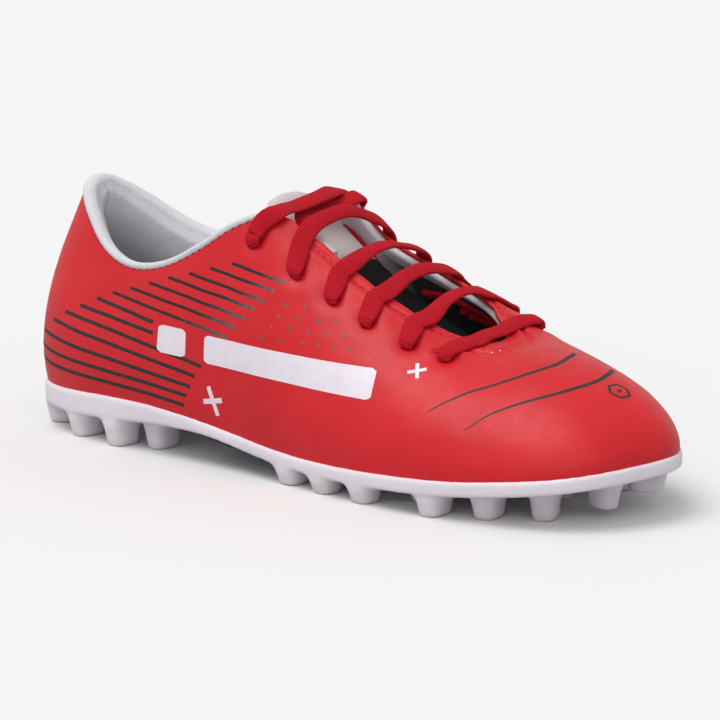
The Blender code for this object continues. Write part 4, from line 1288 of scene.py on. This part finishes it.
def middle_line(x):
    return open_curve([(0, 0), (60, -1), (110, -3.5), (150, -2.5), (200, -1.5), (240, -1), (280, -1)], x)


def narrowed_outline(t, inset):
    """Foot line moved inward, never past the long middle line of the sole."""
    point, outward = foot_edge(t)
    if inset <= 4:
        return point - outward * inset
    middle_x = np.clip(point[:, 0], 32, 232)
    middle = np.column_stack([middle_x, middle_line(middle_x)])
    room = np.linalg.norm(point - middle, axis=1)
    return point + (middle - point) * np.minimum(inset / room, 0.86)[:, None]


def spine_cap(first, count, flip):
    """Quads across a narrow ring, joining each point to its mirror on the other side."""
    faces = []
    for k in range(count // 2):
        corners = (k, (k + 1) % count, (count - k - 1) % count, (count - k) % count)
        quad = [first + corner for corner in dict.fromkeys(corners)]
        if len(quad) > 2:
            faces.append(tuple(reversed(quad)) if flip else tuple(quad))
    return faces


def ringed_solid(t, rings):
    """Points and faces of a solid from rings that run from the middle of its top round to its base."""
    faces = tube_faces(len(rings), len(t), False)[:-2]
    faces += spine_cap(0, len(t), False)
    faces += spine_cap((len(rings) - 1) * len(t), len(t), True)
    return np.concatenate(rings), faces


# Share of a stud's height from its tip, and half its width there, which flares where it meets the plate.
STUD_PROFILE = [(0.0, 4.0), (0.08, 4.5), (0.45, 4.8), (0.62, 5.2), (0.75, 5.9), (0.86, 7.0), (0.95, 8.6),
                (1.12, 9.4)]
STUD_SIDES = 40


def stud_rings(x, y, scale, low, at_edge):
    """Rings of one stud from tip to base; at the edge it is squarer and follows the sole's wall."""
    t = np.arange(0, LOOP, 1 / 24)
    edge, outward = foot_edge(t)
    nearest = int(np.argmin(np.hypot(edge[:, 0] - x, edge[:, 1] - y)))
    foot, out = edge[nearest], outward[nearest]
    along = np.array([-out[1], out[0]])
    room = float(np.hypot(foot[0] - x, foot[1] - y))
    base = float(sole_line(x) - plate_thickness(x))
    power = 0.72 if at_edge else 0.9
    turn = full_turn(STUD_SIDES)
    square_x, square_y = squared(np.cos(turn), power), squared(np.sin(turn), power)
    rings = []
    for share, half in STUD_PROFILE:
        half = half * scale
        outer_face, inner_face = room - half, room + min(half, 7.5)
        if at_edge:
            outer_face = max(0.0, room - 8.5) + 0.6 - 1.55 * float(smooth_step(0, 0.8, share))
        middle = foot - out * (outer_face + inner_face) / 2
        depth = (inner_face - outer_face) / 2
        flat = middle + along * half * square_x[:, None] + out * depth * square_y[:, None]
        rings.append(np.column_stack([flat, np.full(STUD_SIDES, low + (base - low) * share)]))
    return rings


# Inset from the foot line, share of the plate's thickness, and a small lift, from the middle of the top
# round to the middle of the base.  The lift makes a low lip round the upper.
SOLE_PROFILE = ((30, 0.0, 0), (9, 0.0, 0), (2.6, 0.0, 0), (2.0, 0.0, 0.9), (-0.2, 0.0, 0.9),
                (-0.85, 0.0, 0.7), (-1.1, 0.06, 0), (-1.1, 0.5, 0), (-1.05, 0.88, 0), (-0.8, 1.0, 0),
                (0.3, 1.0, -0.2), (2.5, 1.0, -0.2), (9, 1.0, 0), (30, 1.0, 0))
VOXEL = 0.7


def make_outsole():
    """Plate and studs joined into one moulding, with the fillets that a moulding has."""
    t = np.arange(0, LOOP, 1 / 12)
    rings = []
    for inset, share, lift in SOLE_PROFILE:
        edge = narrowed_outline(t, inset)
        height = sole_line(edge[:, 0]) - plate_thickness(edge[:, 0]) * share + lift
        rings.append(np.column_stack([edge, height]))
    studs = [(x, y, 1.0, 0.0, True) for x, y in STUDS_OUTER_HEEL + STUDS_OUTER_FRONT + STUDS_INNER_SIDE]
    studs += [(x, -y, 1.0, 0.0, True) for x, y in STUDS_OUTER_HEEL]
    studs += [(x, y, 0.85, 0.0, False) for x, y in STUDS_MIDDLE]
    studs += [(x, y, 0.9, 3.0 + 3.0 * k, True) for k, (x, y) in enumerate(STUDS_TOE)]
    plate = bmesh.new()
    add_shell(plate, *ringed_solid(t, rings))
    for stud in studs:
        rings = stud_rings(*stud)
        add_shell(plate, np.concatenate(rings), tube_faces(len(rings), STUD_SIDES, False))
    look = sole_look()
    piece = add_piece("outsole_moulded", [(0, 0, 0)], [], look, "boot", "sole_white")
    plate.to_mesh(piece.data)
    plate.free()
    remesh = piece.modifiers.new("remesh", "REMESH")
    remesh.mode = "VOXEL"
    remesh.voxel_size = VOXEL * MM
    soften = piece.modifiers.new("soften", "SMOOTH")
    soften.factor = 0.5
    soften.iterations = 5
    apply_modifiers(piece)
    piece.data.materials.clear()
    piece.data.materials.append(look)
    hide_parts("outsole_plate")


def add_shell(work, points, faces):
    """Add one closed shell to a bmesh, facing outward."""
    shell = closed_mesh("shell", points, faces)
    work.from_mesh(shell)
    bpy.data.meshes.remove(shell)


def make_arch_insert():
    """Dark stiffening plate under the arch, with a tab that shows at the sole's outer edge."""
    look = print_look("insert_navy_satin", (0.012, 0.018, 0.06), (0.02, 0.03, 0.09), 0.42, 400.0)
    x = np.linspace(93, 129, 64)
    share = np.linspace(0, 1, 44)[None, :]
    edge, _ = foot_edge(np.linspace(5, 9, 81))
    tab = smooth_step(97, 100, x) * (1 - smooth_step(110, 116, x))
    outer_y = np.interp(x, edge[:, 0], edge[:, 1]) + 4.2 - 3.7 * tab
    inner_y = open_curve([(90, 24), (110, 25), (130, 28)], x)
    grid_x = np.repeat(x[:, None], share.size, 1)
    grid_y = outer_y[:, None] + (inner_y - outer_y)[:, None] * share
    from_side = np.minimum(share, 1 - share) * 57
    from_end = np.minimum(x - x[0], x[-1] - x)[:, None]
    rounded = np.sqrt(1 - (1 - np.clip(np.minimum(from_side, from_end) / 1.2, 0, 1)) ** 2)
    top = sole_line(grid_x) - plate_thickness(grid_x) - 0.4
    low = top - 0.35 - (0.85 + 0.3 * tab[:, None]) * rounded
    points = np.concatenate([np.stack([grid_x, grid_y, z], -1).reshape(-1, 3) for z in (top, low)])
    faces = slab_faces(x.size, share.size)
    piece = add_piece("insert_navy_plate", points, faces, look, "boot", "insert_navy")
    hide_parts("arch_insert")


LINER_BASE = 3.6                            # height of the liner's underside over the sole line
LINER_FACE = 3.2                            # height of its flat face over its underside
LINER_RIM = [(-6, 3.9), (40, 3.7), (90, 3.6), (140, 3.4), (284, 3.2)]
LINER_INSET = LINING_INNER + 2.6

# Inset from the liner's outline, share of the way from a height to the rim's height, and that height.
LINER_PROFILE = ((24, 0, LINER_FACE), (15, 0, LINER_FACE), (8.0, 0.08, LINER_FACE), (5.0, 0.35, LINER_FACE),
                 (3.0, 0.75, LINER_FACE), (1.6, 0.97, LINER_FACE), (0.7, 1.0, LINER_FACE),
                 (0.15, 0.9, LINER_FACE), (0.0, 0.6, LINER_FACE), (0.0, 0.0, 0.6), (0.5, 0.0, 0.1),
                 (3.0, 0.0, 0.0), (24, 0.0, 0.0))


def make_sockliner():
    """Removable liner with a cloth face and a slightly raised, rounded rim."""
    look = textile_look("sockliner_cloth", (0.16, 0.16, 0.175), (0.07, 0.07, 0.08), 900.0, 0.1)
    t = np.arange(0, LOOP, 1 / 8)
    rings = []
    for inset, share, height in LINER_PROFILE:
        edge = narrowed_outline(t, LINER_INSET + inset)
        rim = LINER_BASE + open_curve(LINER_RIM, edge[:, 0])
        middle = LINER_BASE + height
        rings.append(np.column_stack([edge, sole_line(edge[:, 0]) + middle + (rim - middle) * share]))
    piece = add_piece("sockliner_cloth_face", *ringed_solid(t, rings), look, "liner", "sockliner_fabric")
    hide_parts("sockliner")


# ---------------- the CAD nodes that stay

def dress_kept_nodes():
    board = plain_look("fibre_board", (0.62, 0.58, 0.50), (0.45, 0.41, 0.34), 0.8, 1500.0, 0.06)
    foam = plain_look("collar_foam_cells", *FOAM)
    tape = textile_look("woven_tape", (0.55, 0.53, 0.52), (0.40, 0.38, 0.37), 1400.0, 0.05)
    looks = {"insole_board": board, "toe_puff": board, "heel_counter": board, "collar_foam": foam,
             "eyestay_tape_outer": tape, "eyestay_tape_inner": tape}
    for node, look in looks.items():
        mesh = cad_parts[node].data
        mesh.materials.clear()
        mesh.materials.append(look)


def main():
    make_camera()
    make_lace()
    make_light()
    make_ground()
    textile = textile_look("tongue_backing_brushed", LINING_PALE, LINING_DEEP, 1400.0, 0.05, 0.1)
    make_upper(leather_look())
    make_lining(lining_look())
    make_prints()
    make_films()
    make_all_stitches()
    make_tongue(textile)
    make_outsole()
    make_arch_insert()
    make_sockliner()
    dress_kept_nodes()


main()
